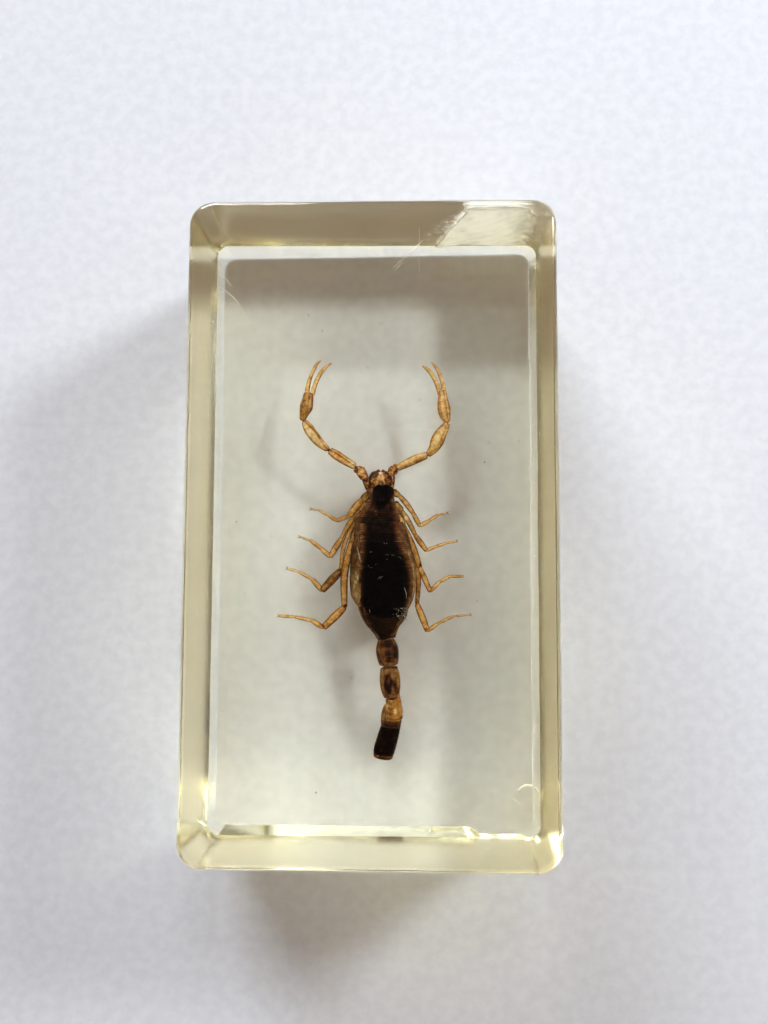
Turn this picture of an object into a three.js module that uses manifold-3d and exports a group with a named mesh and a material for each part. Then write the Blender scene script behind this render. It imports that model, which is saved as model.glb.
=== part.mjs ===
// A desk paperweight: one block of clear cast resin, 41 x 73 x 20 mm, that lies on its large face.
// Millimetres. +Z up, +Y towards the end that the specimen's head points to. The origin is the centre of
// the face that the block rests on.
//
// The specimen and the bubbles sealed inside have no opening to the outside, so this solid is whole.
// Its outside is that of a moulded and hand-rubbed block: upright corners with a generous radius, edges
// with a small one, walls that lean in a little towards the base, a shallow dip rubbed into the far wall
// and a scooped chip under the near right corner.

import * as THREE from "three";
import { mergeVertices } from "three/addons/utils/BufferGeometryUtils.js";
import Module from "manifold-3d";

// Driving dimensions
const width = 41; // along X, at the widest level
const length = 73; // along Y, at the widest level
const height = 20; // along Z
const cornerRadius = 2.7; // of the four upright corners
const topEdgeRadius = 0.9;
const baseEdgeRadius = 1.3;
const wallDraft = 0.3; // how much further in each wall stands at the base than at the top

// The dip in the far wall: a shallow ellipsoid cut
const dip = {
  radii: new THREE.Vector3(12, 1.2, 15),
  centre: new THREE.Vector3(12.6, length / 2 + 0.72, 8),
};

// The chip under the near right corner: a spherical scoop
const chipWidth = 5.4;
const chipDepth = 0.9;
const chipPlace = new THREE.Vector2(17.6, -32.9);

// Fineness
const cornerSteps = 10; // chords in each upright corner
const edgeSteps = 5; // chords in each edge rounding
const roundSteps = 40; // chords round a cutter

const wasm = await Module();
wasm.setup();

// The points of a rectangle with round corners, anticlockwise, one ring at one height.
function ring(inset, z) {
  const radius = cornerRadius - inset;
  const points = [];
  for (let corner = 0; corner < 4; corner++) {
    const sideX = corner === 0 || corner === 3 ? 1 : -1;
    const sideY = corner < 2 ? 1 : -1;
    const centreX = sideX * (width / 2 - cornerRadius);
    const centreY = sideY * (length / 2 - cornerRadius);
    for (let step = 0; step <= cornerSteps; step++) {
      const angle = ((corner + step / cornerSteps) * Math.PI) / 2;
      points.push([
        centreX + radius * Math.cos(angle),
        centreY + radius * Math.sin(angle),
        z,
      ]);
    }
  }
  return points;
}

// The wall's upright profile as [inset, height] pairs: base rounding, leaning wall, top rounding.
function wallProfile() {
  const profile = [];
  for (let step = 0; step <= edgeSteps; step++) {
    const angle = ((step / edgeSteps) * Math.PI) / 2;
    profile.push([
      wallDraft + baseEdgeRadius * (1 - Math.sin(angle)),
      baseEdgeRadius * (1 - Math.cos(angle)),
    ]);
  }
  for (let step = 0; step <= edgeSteps; step++) {
    const angle = ((step / edgeSteps) * Math.PI) / 2;
    profile.push([
      topEdgeRadius * (1 - Math.cos(angle)),
      height - topEdgeRadius * (1 - Math.sin(angle)),
    ]);
  }
  return profile;
}

// The uncut block: rings joined by quads, with a fan over each end.
function blockGeometry() {
  const rings = wallProfile().map(([inset, z]) => ring(inset, z));
  const around = rings[0].length;
  const positions = rings.flat(2);
  const indices = [];
  for (let level = 0; level < rings.length - 1; level++) {
    for (let i = 0; i < around; i++) {
      const a = level * around + i;
      const b = level * around + ((i + 1) % around);
      indices.push(a, b, b + around, a, b + around, a + around);
    }
  }
  const baseCentre = positions.length / 3;
  const topCentre = baseCentre + 1;
  positions.push(0, 0, 0, 0, 0, height);
  const topStart = (rings.length - 1) * around;
  for (let i = 0; i < around; i++) {
    const next = (i + 1) % around;
    indices.push(baseCentre, next, i);
    indices.push(topCentre, topStart + i, topStart + next);
  }
  const geometry = new THREE.BufferGeometry();
  geometry.setAttribute(
    "position",
    new THREE.Float32BufferAttribute(positions, 3),
  );
  geometry.setIndex(indices);
  return geometry;
}

// A scaled sphere at a place, to cut with.
function ellipsoidGeometry(radii, centre) {
  return new THREE.SphereGeometry(1, roundSteps, roundSteps / 2)
    .scale(radii.x, radii.y, radii.z)
    .translate(centre.x, centre.y, centre.z);
}

// A closed three.js mesh as a solid, with its shared vertices merged.
function solidOf(geometry) {
  const bare = geometry.clone();
  bare.deleteAttribute("normal");
  bare.deleteAttribute("uv");
  const merged = mergeVertices(bare, 1e-4);
  return new wasm.Manifold(
    new wasm.Mesh({
      numProp: 3,
      vertProperties: merged.attributes.position.array,
      triVerts: new Uint32Array(merged.index.array),
    }),
  );
}

function geometryOf(solid) {
  const mesh = solid.getMesh();
  const geometry = new THREE.BufferGeometry();
  geometry.setAttribute(
    "position",
    new THREE.BufferAttribute(mesh.vertProperties, 3),
  );
  geometry.setIndex(new THREE.BufferAttribute(mesh.triVerts, 1));
  geometry.computeVertexNormals();
  return geometry;
}

function resinBlock() {
  // A cap of width w and depth d belongs to a sphere of radius (w^2/4 + d^2) / 2d.
  const chipRadius = (chipWidth ** 2 / 4 + chipDepth ** 2) / (2 * chipDepth);
  const chip = ellipsoidGeometry(
    new THREE.Vector3(chipRadius, chipRadius, chipRadius),
    new THREE.Vector3(chipPlace.x, chipPlace.y, chipDepth - chipRadius),
  );
  const solid = solidOf(blockGeometry())
    .subtract(solidOf(ellipsoidGeometry(dip.radii, dip.centre)))
    .subtract(solidOf(chip));
  const clearResin = new THREE.MeshStandardMaterial({
    color: 0xe9e4c8,
    roughness: 0.08,
    metalness: 0,
    transparent: true,
    opacity: 0.35,
  });
  const mesh = new THREE.Mesh(geometryOf(solid), clearResin);
  mesh.name = "resin_block";
  return mesh;
}

const paperweight = new THREE.Group();
paperweight.add(resinBlock());

export default paperweight;
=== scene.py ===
import math

import bpy
import numpy as np
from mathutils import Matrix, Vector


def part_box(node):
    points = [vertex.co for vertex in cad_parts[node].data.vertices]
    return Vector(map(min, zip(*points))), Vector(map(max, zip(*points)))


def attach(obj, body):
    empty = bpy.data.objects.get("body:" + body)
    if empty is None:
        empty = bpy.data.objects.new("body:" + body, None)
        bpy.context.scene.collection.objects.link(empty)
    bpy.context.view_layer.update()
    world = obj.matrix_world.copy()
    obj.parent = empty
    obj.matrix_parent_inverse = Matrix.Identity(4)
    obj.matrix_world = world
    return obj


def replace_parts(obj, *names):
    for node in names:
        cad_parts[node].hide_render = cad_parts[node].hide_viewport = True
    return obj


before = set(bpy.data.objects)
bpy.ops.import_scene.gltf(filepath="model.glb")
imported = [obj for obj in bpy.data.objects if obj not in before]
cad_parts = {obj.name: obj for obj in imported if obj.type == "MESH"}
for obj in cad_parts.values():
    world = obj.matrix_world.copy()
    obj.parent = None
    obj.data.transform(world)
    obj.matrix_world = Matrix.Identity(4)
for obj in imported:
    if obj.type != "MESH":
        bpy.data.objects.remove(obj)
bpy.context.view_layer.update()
mm = 0.001  # every place and size below is in millimetres; makePiece turns them into metres
random = np.random.default_rng(7)
print("frame loaded")


def noise(points, cell, seed=0):
    # random values at the corners of cubes of side cell, blended by a smooth step along each axis; -1 to 1
    scaled = np.asarray(points, float) / cell
    corner = np.floor(scaled).astype(np.int64)
    share = scaled - corner
    share = share * share * (3 - 2 * share)
    total = np.zeros(scaled.shape[:-1])
    for i in range(8):
        offset = np.array([i & 1, i >> 1 & 1, i >> 2 & 1])
        x, y, z = np.moveaxis(corner + offset, -1, 0)
        mixed = x * 73856093 ^ y * 19349663 ^ z * 83492791 ^ (seed + 1) * 2654435761
        mixed = (mixed ^ mixed >> 13) * 1274126177 & 0x7FFFFFFF
        mixed = (mixed ^ mixed >> 16) & 0xFFFF
        weight = np.prod(np.where(offset == 1, share, 1 - share), axis=-1)
        total += weight * (mixed / 32767.5 - 1)
    return total


def cloudy(points, cell, seed=0):
    # three octaves of noise, each half as large and half as strong
    return sum(noise(points, cell / 2**k, seed + k) / 2**k for k in range(3)) / 1.75


def through(knots, values, at):
    # a smooth line through the values: a cubic between each two knots, with the slope of the chord
    # between the neighbours
    knots, values = np.asarray(knots, float), np.asarray(values, float)
    slope = np.gradient(values, knots, axis=0)
    i = np.clip(np.searchsorted(knots, at) - 1, 0, len(knots) - 2)
    span = knots[i + 1] - knots[i]
    s = (at - knots[i]) / span
    if values.ndim == 2:
        s, span = s[:, None], span[:, None]
    return (
        (2 * s**3 - 3 * s**2 + 1) * values[i]
        + (s**3 - 2 * s**2 + s) * span * slope[i]
        + (3 * s**2 - 2 * s**3) * values[i + 1]
        + (s**3 - s**2) * span * slope[i + 1]
    )


def downLine(table, key, y):
    # the same smooth line for a table whose y falls from the head to the tail
    y = np.asarray(y, float)
    return through(-np.array(table["y"]), table[key], -y.ravel()).reshape(y.shape)


def unit(vectors):
    # each vector over its length
    return vectors / np.linalg.norm(vectors, axis=-1, keepdims=True)


def bell(x, middle, width):
    # exp(-((x - middle) / width)^2): 1 at the middle and near 0 two widths away
    return np.exp(-(((x - middle) / width) ** 2))


def ease(x, low, high):
    # 0 below low, 1 above high, and s * s * (3 - 2 * s) between
    s = np.clip((x - low) / (high - low), 0, 1)
    return s * s * (3 - 2 * s)


def between(x, low, high, soft):
    # 1 from low to high, falling to 0 over the soft length at each end
    return ease(x, low - soft, low + soft) * (1 - ease(x, high - soft, high + soft))


def pointsAt(x, y, z):
    # one array of points from three arrays or numbers
    return np.stack(np.broadcast_arrays(x, y, z), -1)


def tubeShell(grid, shade):
    # rings of points joined by quads; the first and the last ring are gathered into one pole each
    rows, around = grid.shape[:2]
    points = np.vstack([grid[:1].mean(1), grid[1:-1].reshape(-1, 3), grid[-1:].mean(1)])
    tones = np.concatenate([[shade[0].mean()], shade[1:-1].ravel(), [shade[-1].mean()]])
    j = np.arange(around)
    after = (j + 1) % around
    row = 1 + np.arange(rows - 3)[:, None] * around
    quads = np.stack([row + j, row + around + j, row + around + after, row + after], -1)
    last = 1 + (rows - 3) * around
    end = len(points) - 1
    fans = np.vstack([
        np.stack([np.zeros_like(j), 1 + j, 1 + after], -1),
        np.stack([np.full_like(j, end), last + after, last + j], -1),
    ])
    return outward(points, quads.reshape(-1, 4), fans, tones)


def sheetShell(top, under, shade):
    # two sheets on one grid that share their border, so a plate with a thin edge all round
    rows, across = top.shape[:2]
    upper = np.arange(rows * across).reshape(rows, across)
    lower = upper.copy()
    inner = (rows - 2) * (across - 2)
    lower[1:-1, 1:-1] = rows * across + np.arange(inner).reshape(rows - 2, across - 2)
    points = np.vstack([top.reshape(-1, 3), under[1:-1, 1:-1].reshape(-1, 3)])
    tones = np.concatenate([shade.ravel(), shade[1:-1, 1:-1].ravel()])

    def cells(index):
        return np.stack([index[:-1, :-1], index[:-1, 1:], index[1:, 1:], index[1:, :-1]], -1)

    quads = np.vstack([cells(upper).reshape(-1, 4), cells(lower).reshape(-1, 4)[:, ::-1]])
    return outward(points, quads, np.zeros((0, 3), int), tones)


def ringShell(grid, shade):
    # rows and columns both joined end to end, so a closed frame
    index = np.arange(shade.size).reshape(shade.shape)
    after = np.roll(index, -1, 0)
    quads = np.stack([index, np.roll(index, -1, 1), np.roll(after, -1, 1), after], -1)
    return outward(grid.reshape(-1, 3), quads.reshape(-1, 4), np.zeros((0, 3), int), shade.ravel())


def outward(points, quads, triangles, tones):
    # turns the faces over where the closed shell's signed volume is negative
    corners = np.vstack([quads[:, [0, 1, 2]], quads[:, [0, 2, 3]], triangles])
    a, b, c = (points[corners[:, k]] - points.mean(0) for k in range(3))
    if np.einsum("ij,ij->", a, np.cross(b, c)) < 0:
        quads, triangles = quads[:, ::-1], triangles[:, ::-1]
    return points, quads, triangles, tones


def insideOut(shell):
    # the same shell with its faces turned over, for a hollow
    points, quads, triangles, tones = shell
    return points, quads[:, ::-1], triangles[:, ::-1], tones


def plateGrid(rows, across):
    # u runs from -1 at the left to 1 at the right, closer together at both sides, and v from 0 to 1
    return np.sin(np.linspace(-1, 1, across) * np.pi / 2)[None], np.linspace(0, 1, rows)[:, None]


def plateEdge(u, v):
    # 1 inside and 0 on the rim of a sheet, so that its thickness rounds off
    side = np.sqrt(np.clip(1 - np.abs(u) ** 10, 0, 1))
    return side * np.sqrt(np.clip(1 - np.abs(2 * v - 1) ** 12, 0, 1))


def plateShell(x, y, z, u, v, thick, shade):
    # a plate between the surface x, y, z and a second one that lies thick * plateEdge above it, or below
    surface = pointsAt(x, y, z)
    return sheetShell(surface, surface + pointsAt(0, 0, thick * plateEdge(u, v)), shade)


def makePiece(name, shells, finish):
    # joins the shells into one mesh, whose "shade" attribute runs from 0, pale, to 1, dark
    offsets = np.cumsum([0] + [len(s[0]) for s in shells])
    points = np.vstack([s[0] for s in shells]) * mm
    tones = np.concatenate([s[3] for s in shells])
    quads = np.vstack([s[1] + o for s, o in zip(shells, offsets)])
    triangles = np.vstack([s[2] + o for s, o in zip(shells, offsets)])
    mesh = bpy.data.meshes.new(name)
    mesh.vertices.add(len(points))
    mesh.vertices.foreach_set("co", points.astype(np.float32).ravel())
    mesh.loops.add(quads.size + triangles.size)
    corners = np.concatenate([quads.ravel(), triangles.ravel()]).astype(np.int32)
    mesh.loops.foreach_set("vertex_index", corners)
    starts = np.concatenate([
        np.arange(len(quads)) * 4,
        quads.size + np.arange(len(triangles)) * 3,
    ])
    mesh.polygons.add(len(starts))
    mesh.polygons.foreach_set("loop_start", starts.astype(np.int32))
    mesh.update(calc_edges=True)
    mesh.polygons.foreach_set("use_smooth", np.ones(len(starts), bool))
    tone = mesh.attributes.new("shade", "FLOAT", "POINT")
    tone.data.foreach_set("value", np.clip(tones, 0, 1).astype(np.float32))
    mesh.materials.append(finish)
    piece = bpy.data.objects.new(name, mesh)
    bpy.context.scene.collection.objects.link(piece)
    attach(piece, "root")
    return piece


def stationsOf(points):
    # the share of a path's length at each of its points, and that length
    lengths = np.linalg.norm(np.diff(np.array(points, float), axis=0), axis=1)
    return np.concatenate([[0], np.cumsum(lengths)]) / lengths.sum(), lengths.sum()


def pathFrames(points, at):
    # centre line through the points, with the direction along it, to its side and up from it
    centre = through(stationsOf(points)[0], np.array(points, float), at)
    ahead = unit(np.gradient(centre, at, axis=0))
    side = unit(np.cross(ahead, [0.0, 0.0, 1.0]))
    return centre, ahead, side, np.cross(side, ahead)


tube = {
    "crowding": 0.45,  # how far the rings draw together towards the two ends
    "keelWidth": 0.16,  # in radians round the tube
    "beadDepth": 0.35,
    "mottle": ((0.5, 1.6), (0.17, 1.0)),  # cell and strength of the large and the small mottling
}


def limb(points, widths, heights, look=0.3, rings=48, around=28, square=2.2, ends=(0.3, 0.3), keels=(),
         ridgeTone=0.35, grain=0.012, grainCell=0.16, mottle=0.14, seed=0):
    # A squarish tube: centre + side * half width * |cos|^(2 / square) + lift * half height *
    # |sin|^(2 / square), each with its sign. Widths and heights stand at the points when there are as
    # many, else evenly along the path; the tube closes round over the two end lengths. A keel is (angle
    # in degrees, height, beads per mm), a ridge along the tube. look is a tone, or a function of the
    # share across (-1 to 1), the share along and the places; mottling is added to it.
    even = np.linspace(0, 1, rings)
    at = even + tube["crowding"] * ((1 - np.cos(np.pi * even)) / 2 - even)
    knots, length = stationsOf(points)
    centre, ahead, side, lift = pathFrames(points, at)
    half = []
    for sizes in (widths, heights):
        places = knots if len(sizes) == len(points) else np.linspace(0, 1, len(sizes))
        half.append(through(places, sizes, at) / 2)
    closing = np.ones(rings)
    for distance, reach in zip((at * length, (1 - at) * length), ends):
        closing *= np.sqrt(1 - (1 - np.clip(distance / reach, 0, 1)) ** 2)
    angle = np.linspace(0, 2 * np.pi, around, endpoint=False)
    across = np.sign(np.cos(angle)) * np.abs(np.cos(angle)) ** (2 / square)
    upward = np.sign(np.sin(angle)) * np.abs(np.sin(angle)) ** (2 / square)
    ridge = np.zeros((rings, around))
    for degrees, tall, beads in keels:
        turn = (angle - math.radians(degrees) + np.pi) % (2 * np.pi) - np.pi
        bead = 1 + tube["beadDepth"] * (np.cos(2 * np.pi * beads * at * length) - 1)
        ridge += tall * bead[:, None] * bell(turn, 0, tube["keelWidth"])
    widthNow = half[0][:, None] * closing[:, None] * across
    heightNow = half[1][:, None] * closing[:, None] * upward
    grid = centre[:, None] + side[:, None] * widthNow[..., None] + lift[:, None] * heightNow[..., None]
    out = grid - centre[:, None]
    out /= np.maximum(np.linalg.norm(out, axis=-1, keepdims=True), 1e-6)
    rough = grain * cloudy(grid, grainCell, seed)
    grid = grid + out * ((ridge + rough) * closing[:, None])[..., None]
    tone = look(across[None], at[:, None], grid) if callable(look) else look
    (large, strong), (small, weak) = tube["mottle"]
    spots = strong * cloudy(grid, large, seed + 11) + weak * noise(grid, small, seed + 12)
    shade = tone + mottle * spots
    shade = shade + ridgeTone * ridge / max(ridge.max(), 1e-6)
    return tubeShell(grid, shade)


def blob(centre, radii, rings=12, around=16, rough=0.0, seed=0, tone=0.5):
    # a ball stretched along the axes, with its surface moved in and out by noise
    polar = np.linspace(0, np.pi, rings)[:, None]
    angle = np.linspace(0, 2 * np.pi, around, endpoint=False)[None]
    ball = pointsAt(np.sin(polar) * np.cos(angle), np.sin(polar) * np.sin(angle), np.cos(polar))
    grid = np.array(centre) + ball * np.array(radii) * (1 + rough * noise(ball, 0.6, seed))[..., None]
    return tubeShell(grid, np.full(grid.shape[:2], tone))


def hair(root, tip, thick):
    # a five-sided bristle that tapers to a point
    root, tip = np.array(root, float), np.array(tip, float)
    sizes = [thick, thick * 0.7, thick * 0.15]
    return limb([root, (root + tip) / 2, tip], sizes, sizes, look=0.7, rings=6, around=5, square=2,
                ends=(thick, thick * 0.2), grain=0)


# Single marks on the limbs: x, y, radius and strength, dark above 0 and pale below; the one pale mark is a
# painted highlight.
marks = ((-3.8, -4.5, 0.16, 0.6), (-3.15, -8.7, 0.2, 0.6), (5.45, -3.9, 0.16, 0.6), (3.6, 1.4, 0.4, -0.4),
         (-5.0, 1.35, 0.12, 0.3), (-4.3, -2.2, 0.14, 0.3), (6.2, -11.2, 0.15, 0.4), (-5.6, -11.0, 0.15, 0.4))


def spotTone(grid):
    # strength * exp(-(distance / radius)^2) of each mark, seen from above
    shade = np.zeros(grid.shape[:2])
    for x, y, radius, strength in marks:
        away = np.hypot(grid[..., 0] - x, grid[..., 1] - y)
        shade += strength * bell(away, 0, radius)
    return shade


def limbLook(tone, outline=0.35, rims=0.3, stripes=()):
    # Tone, plus dark outlines on both sides, which are painted shade at the limb's silhouettes, dark rims at
    # the two ends and stripes along the limb. A stripe is (its share across at the start, middle and end, its
    # half width, its strength).
    def look(across, along, grid):
        # painted shade: darker towards both sides of the limb
        shade = tone - 0.08 + outline * ease(np.abs(across), 0.45, 0.92)
        shade = shade + rims * (bell(along, 0.0, 0.05) + bell(along, 1.0, 0.05))
        for places, wide, strength in stripes:
            middle = through([0, 0.5, 1], places, along.ravel())[:, None]
            shade = shade + strength * bell(across, middle, wide)
        return shade + spotTone(grid)

    return look


class Value:
    # a socket that can stand in a sum or a product; each one adds a Math node
    def __init__(self, finish, socket):
        self.finish = finish
        self.socket = socket

    def maths(self, operation, first, second):
        return self.finish.node("ShaderNodeMath", {"operation": operation}, {0: first, 1: second})

    def __add__(self, other):
        return self.maths("ADD", self, other)

    def __radd__(self, other):
        return self.maths("ADD", other, self)

    def __sub__(self, other):
        return self.maths("SUBTRACT", self, other)

    def __rsub__(self, other):
        return self.maths("SUBTRACT", other, self)

    def __mul__(self, other):
        return self.maths("MULTIPLY", self, other)

    def rise(self, low, high):
        # 0 below low, 1 above high and smooth between
        return self.finish.node("ShaderNodeMapRange", {"interpolation_type": "SMOOTHSTEP"},
                                {0: self, 1: low, 2: high, 3: 0.0, 4: 1.0})

    def band(self, low, lowEnd, high, highEnd):
        # rises from 0 to 1 between the first two, and falls back between the last two
        return self.rise(low, lowEnd) * (1 - self.rise(high, highEnd))


class Finish:
    # the nodes of one material, or of the world
    def __init__(self, owner):
        self.owner = owner
        owner.use_nodes = True
        self.tree = owner.node_tree
        self.tree.nodes.clear()

    def node(self, kind, settings=None, sockets=None, output=0):
        made = self.tree.nodes.new(kind)
        for key, value in (settings or {}).items():
            if key == "stops":
                self.setStops(made.color_ramp, value)
            else:
                setattr(made, key, value)
        for key, value in (sockets or {}).items():
            if isinstance(value, Value):
                self.tree.links.new(value.socket, made.inputs[key])
            else:
                made.inputs[key].default_value = value
        return Value(self, made.outputs[output]) if made.outputs else None

    def setStops(self, ramp, stops):
        # the two stops of a new ramp become the ends, and the others are added between them
        for element, (place, colour) in zip(ramp.elements, (stops[0], stops[-1])):
            element.position = place
            element.color = (*colour, 1.0)
        for place, colour in stops[1:-1]:
            ramp.elements.new(place).color = (*colour, 1.0)

    def attribute(self, name):
        return self.node("ShaderNodeAttribute", {"attribute_name": name}, output=2)

    def grain(self, scale, detail=4.0, stretch=(1, 1, 1)):
        # noise on object coordinates, with scale lumps to the metre
        place = self.node("ShaderNodeTexCoord", output=3)
        place = self.node("ShaderNodeMapping", sockets={"Vector": place, "Scale": stretch})
        return self.node("ShaderNodeTexNoise",
                         sockets={"Vector": place, "Scale": scale, "Detail": detail, "Roughness": 0.55})

    def mix(self, mask, first, second):
        return self.node("ShaderNodeMix", {"data_type": "RGBA"}, {0: mask, 6: first, 7: second}, output=2)

    def bump(self, height, strength, distance):
        return self.node("ShaderNodeBump",
                         sockets={"Height": height, "Strength": strength, "Distance": distance})

    def surface(self, sockets, volume=None):
        ends = {"Surface": self.node("ShaderNodeBsdfPrincipled", sockets=sockets)}
        if volume is not None:
            ends["Volume"] = volume
        self.node("ShaderNodeOutputMaterial", sockets=ends)
        return self.owner


def newFinish(name):
    return Finish(bpy.data.materials.new(name))


def rgb(red, green, blue):
    return (red, green, blue, 1.0)


# Tones of each shell, from the palest at 0 to the darkest at 1.
shellTones = {
    "back": ((0.0, (0.30, 0.16, 0.07)), (0.2, (0.13, 0.045, 0.014)), (0.45, (0.032, 0.012, 0.005)),
             (0.7, (0.006, 0.003, 0.002)), (1.0, (0.002, 0.001, 0.001))),
    "amber": ((0.0, (0.92, 0.74, 0.46)), (0.22, (0.76, 0.49, 0.19)), (0.45, (0.54, 0.265, 0.072)),
              (0.7, (0.22, 0.075, 0.015)), (1.0, (0.05, 0.012, 0.003))),
    "red": ((0.0, (0.80, 0.50, 0.24)), (0.25, (0.56, 0.27, 0.09)), (0.5, (0.33, 0.11, 0.03)),
            (0.75, (0.09, 0.025, 0.007)), (1.0, (0.02, 0.007, 0.003))),
    "skin": ((0.0, (0.72, 0.58, 0.42)), (0.3, (0.42, 0.28, 0.13)), (0.5, (0.24, 0.13, 0.047)),
             (0.75, (0.13, 0.05, 0.015)), (1.0, (0.04, 0.014, 0.005))),
    "tail": ((0.0, (0.66, 0.42, 0.20)), (0.3, (0.34, 0.155, 0.04)), (0.55, (0.13, 0.04, 0.010)),
             (0.8, (0.035, 0.010, 0.004)), (1.0, (0.012, 0.003, 0.002))),
    "gold": ((0.0, (1.0, 0.80, 0.45)), (0.3, (0.62, 0.31, 0.07)), (0.6, (0.36, 0.13, 0.02)),
             (1.0, (0.08, 0.025, 0.005))),
    "tip": ((0.0, (0.45, 0.25, 0.10)), (0.3, (0.16, 0.06, 0.02)), (0.6, (0.035, 0.010, 0.004)),
            (1.0, (0.004, 0.0015, 0.002))),
    "fleck": ((0.0, (0.85, 0.80, 0.66)), (0.5, (0.30, 0.26, 0.19)), (1.0, (0.05, 0.045, 0.04))),
}


resin = {
    "bend": 1.5,
    "polished": 0.012,  # roughness where the shade attribute is 0, and how much more it is at 1
    "matt": 0.55,
    "colour": rgb(0.93, 0.905, 0.50),  # what is left of white light, the more so the denser it is
    "density": 11.0,
    "skinColour": rgb(0.94, 0.72, 0.06),
    "skinDensity": 32.0,
    "stain": rgb(1, 0.985, 0.94),
    "ground": rgb(1.0, 0.975, 0.90),
}


def clearResin():
    # clear inside, yellow over a long path, and matt where the shade attribute rises
    finish = newFinish("clear resin")
    haze = finish.grain(900, stretch=(1, 0.12, 1))
    volume = finish.node("ShaderNodeVolumeAbsorption",
                         sockets={"Color": resin["colour"], "Density": resin["density"]})
    return finish.surface({
        "Base Color": rgb(1, 1, 1),
        "Transmission Weight": 1.0,
        "IOR": resin["bend"],
        "Roughness": resin["polished"] + finish.attribute("shade") * resin["matt"],
        "Normal": finish.bump(haze, 0.02, 0.00002),
    }, volume)


def yellowedResin():
    # resin of no bend of its own that takes out blue, with faint stains that lie along the walls
    finish = newFinish("yellowed resin")
    stains = finish.grain(130, detail=3, stretch=(1, 0.4, 1)).rise(0.3, 0.7)
    volume = finish.node("ShaderNodeVolumeAbsorption",
                         sockets={"Color": resin["skinColour"], "Density": resin["skinDensity"]})
    return finish.surface({
        "Base Color": finish.mix(stains, rgb(1, 1, 1), resin["stain"]),
        "Transmission Weight": 1.0,
        "IOR": 1.0,
        "Roughness": 0.0,
    }, volume)


def groundResin():
    # a white scattering ground that thins out where the shade attribute rises
    finish = newFinish("ground patch")
    streaks = finish.grain(900, detail=5, stretch=(1, 1, 0.3))
    return finish.surface({
        "Base Color": resin["ground"],
        "Roughness": 0.7,
        "Specular IOR Level": 0.0,
        "Subsurface Weight": 1.0,
        "Subsurface Radius": (0.001, 0.001, 0.001),
        "Subsurface Scale": 1.0,
        "Alpha": 1.0 - (finish.attribute("shade") + (streaks - 0.5) * 0.2).rise(0.0, 1.0),
    })


def shellFinish(name, tones, roughness, subsurface, relief=0.00003, stretch=(1, 1, 1), paintedGlints=0.35,
                gloss=0.12):
    # the shade attribute, broken up by two sizes of mottling and by painted highlights (pale glints where the
    # fine noise peaks), picks the colour
    finish = newFinish(name)
    mottle = finish.grain(1500, detail=6, stretch=stretch)
    fine = finish.grain(5200, detail=3, stretch=stretch)
    tone = finish.attribute("shade") + (mottle - 0.5) * 0.45 + (fine - 0.5) * 0.45
    # painted highlights: the tone turns pale where the fine noise peaks, in place of glints of light
    tone = tone - fine.rise(0.6, 0.7) * paintedGlints
    return finish.surface({
        "Base Color": finish.node("ShaderNodeValToRGB", {"stops": shellTones[tones]}, {0: tone}),
        "Roughness": roughness + fine * 0.15,
        "Specular IOR Level": gloss,
        "Subsurface Weight": subsurface,
        "Subsurface Radius": (0.0003, 0.00018, 0.0001),
        "Subsurface Scale": 1.0,
        "Normal": finish.bump(fine * 0.6 + mottle * 0.4, 0.5, relief),
    })


def plainFinish(name, colour, other, roughness):
    # two close colours in fine spots
    finish = newFinish(name)
    spots = finish.grain(2500)
    return finish.surface({
        "Base Color": finish.mix(spots.rise(0.35, 0.65), colour, other),
        "Roughness": roughness + spots * 0.1,
        "Specular IOR Level": 0.3,
        "Normal": finish.bump(spots, 0.4, 0.00003),
    })


resinFinish = clearResin()
yellowedFinish = yellowedResin()
backFinish = shellFinish("dark back plates", "back", 0.45, 0.0, relief=0.00004, stretch=(0.3, 1, 1),
                         paintedGlints=0.4, gloss=0.03)
amberFinish = shellFinish("amber shell", "amber", 0.35, 0.3)
redFinish = shellFinish("red brown shell", "red", 0.35, 0.2)
skinFinish = shellFinish("straw skin", "skin", 0.5, 0.3, stretch=(1, 0.22, 1))
tailFinish = shellFinish("tail shell", "tail", 0.3, 0.2)
goldFinish = shellFinish("golden tail shell", "gold", 0.3, 0.3)
tipFinish = shellFinish("dark tail shell", "tip", 0.35, 0.05, relief=0.00004, stretch=(1, 0.3, 1),
                        paintedGlints=0.5, gloss=0.04)
fleckFinish = shellFinish("trapped air glints", "fleck", 0.3, 0.2)
groundFinish = groundResin()
eyeFinish = plainFinish("eye lens", rgb(0.01, 0.006, 0.004), rgb(0.03, 0.015, 0.01), 0.08)
scratchFinish = plainFinish("scratch", rgb(0.98, 0.97, 0.93), rgb(0.85, 0.83, 0.78), 0.6)
dustFinish = plainFinish("dust", rgb(0.03, 0.028, 0.025), rgb(0.08, 0.07, 0.06), 0.8)
print("finishes made")


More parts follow.
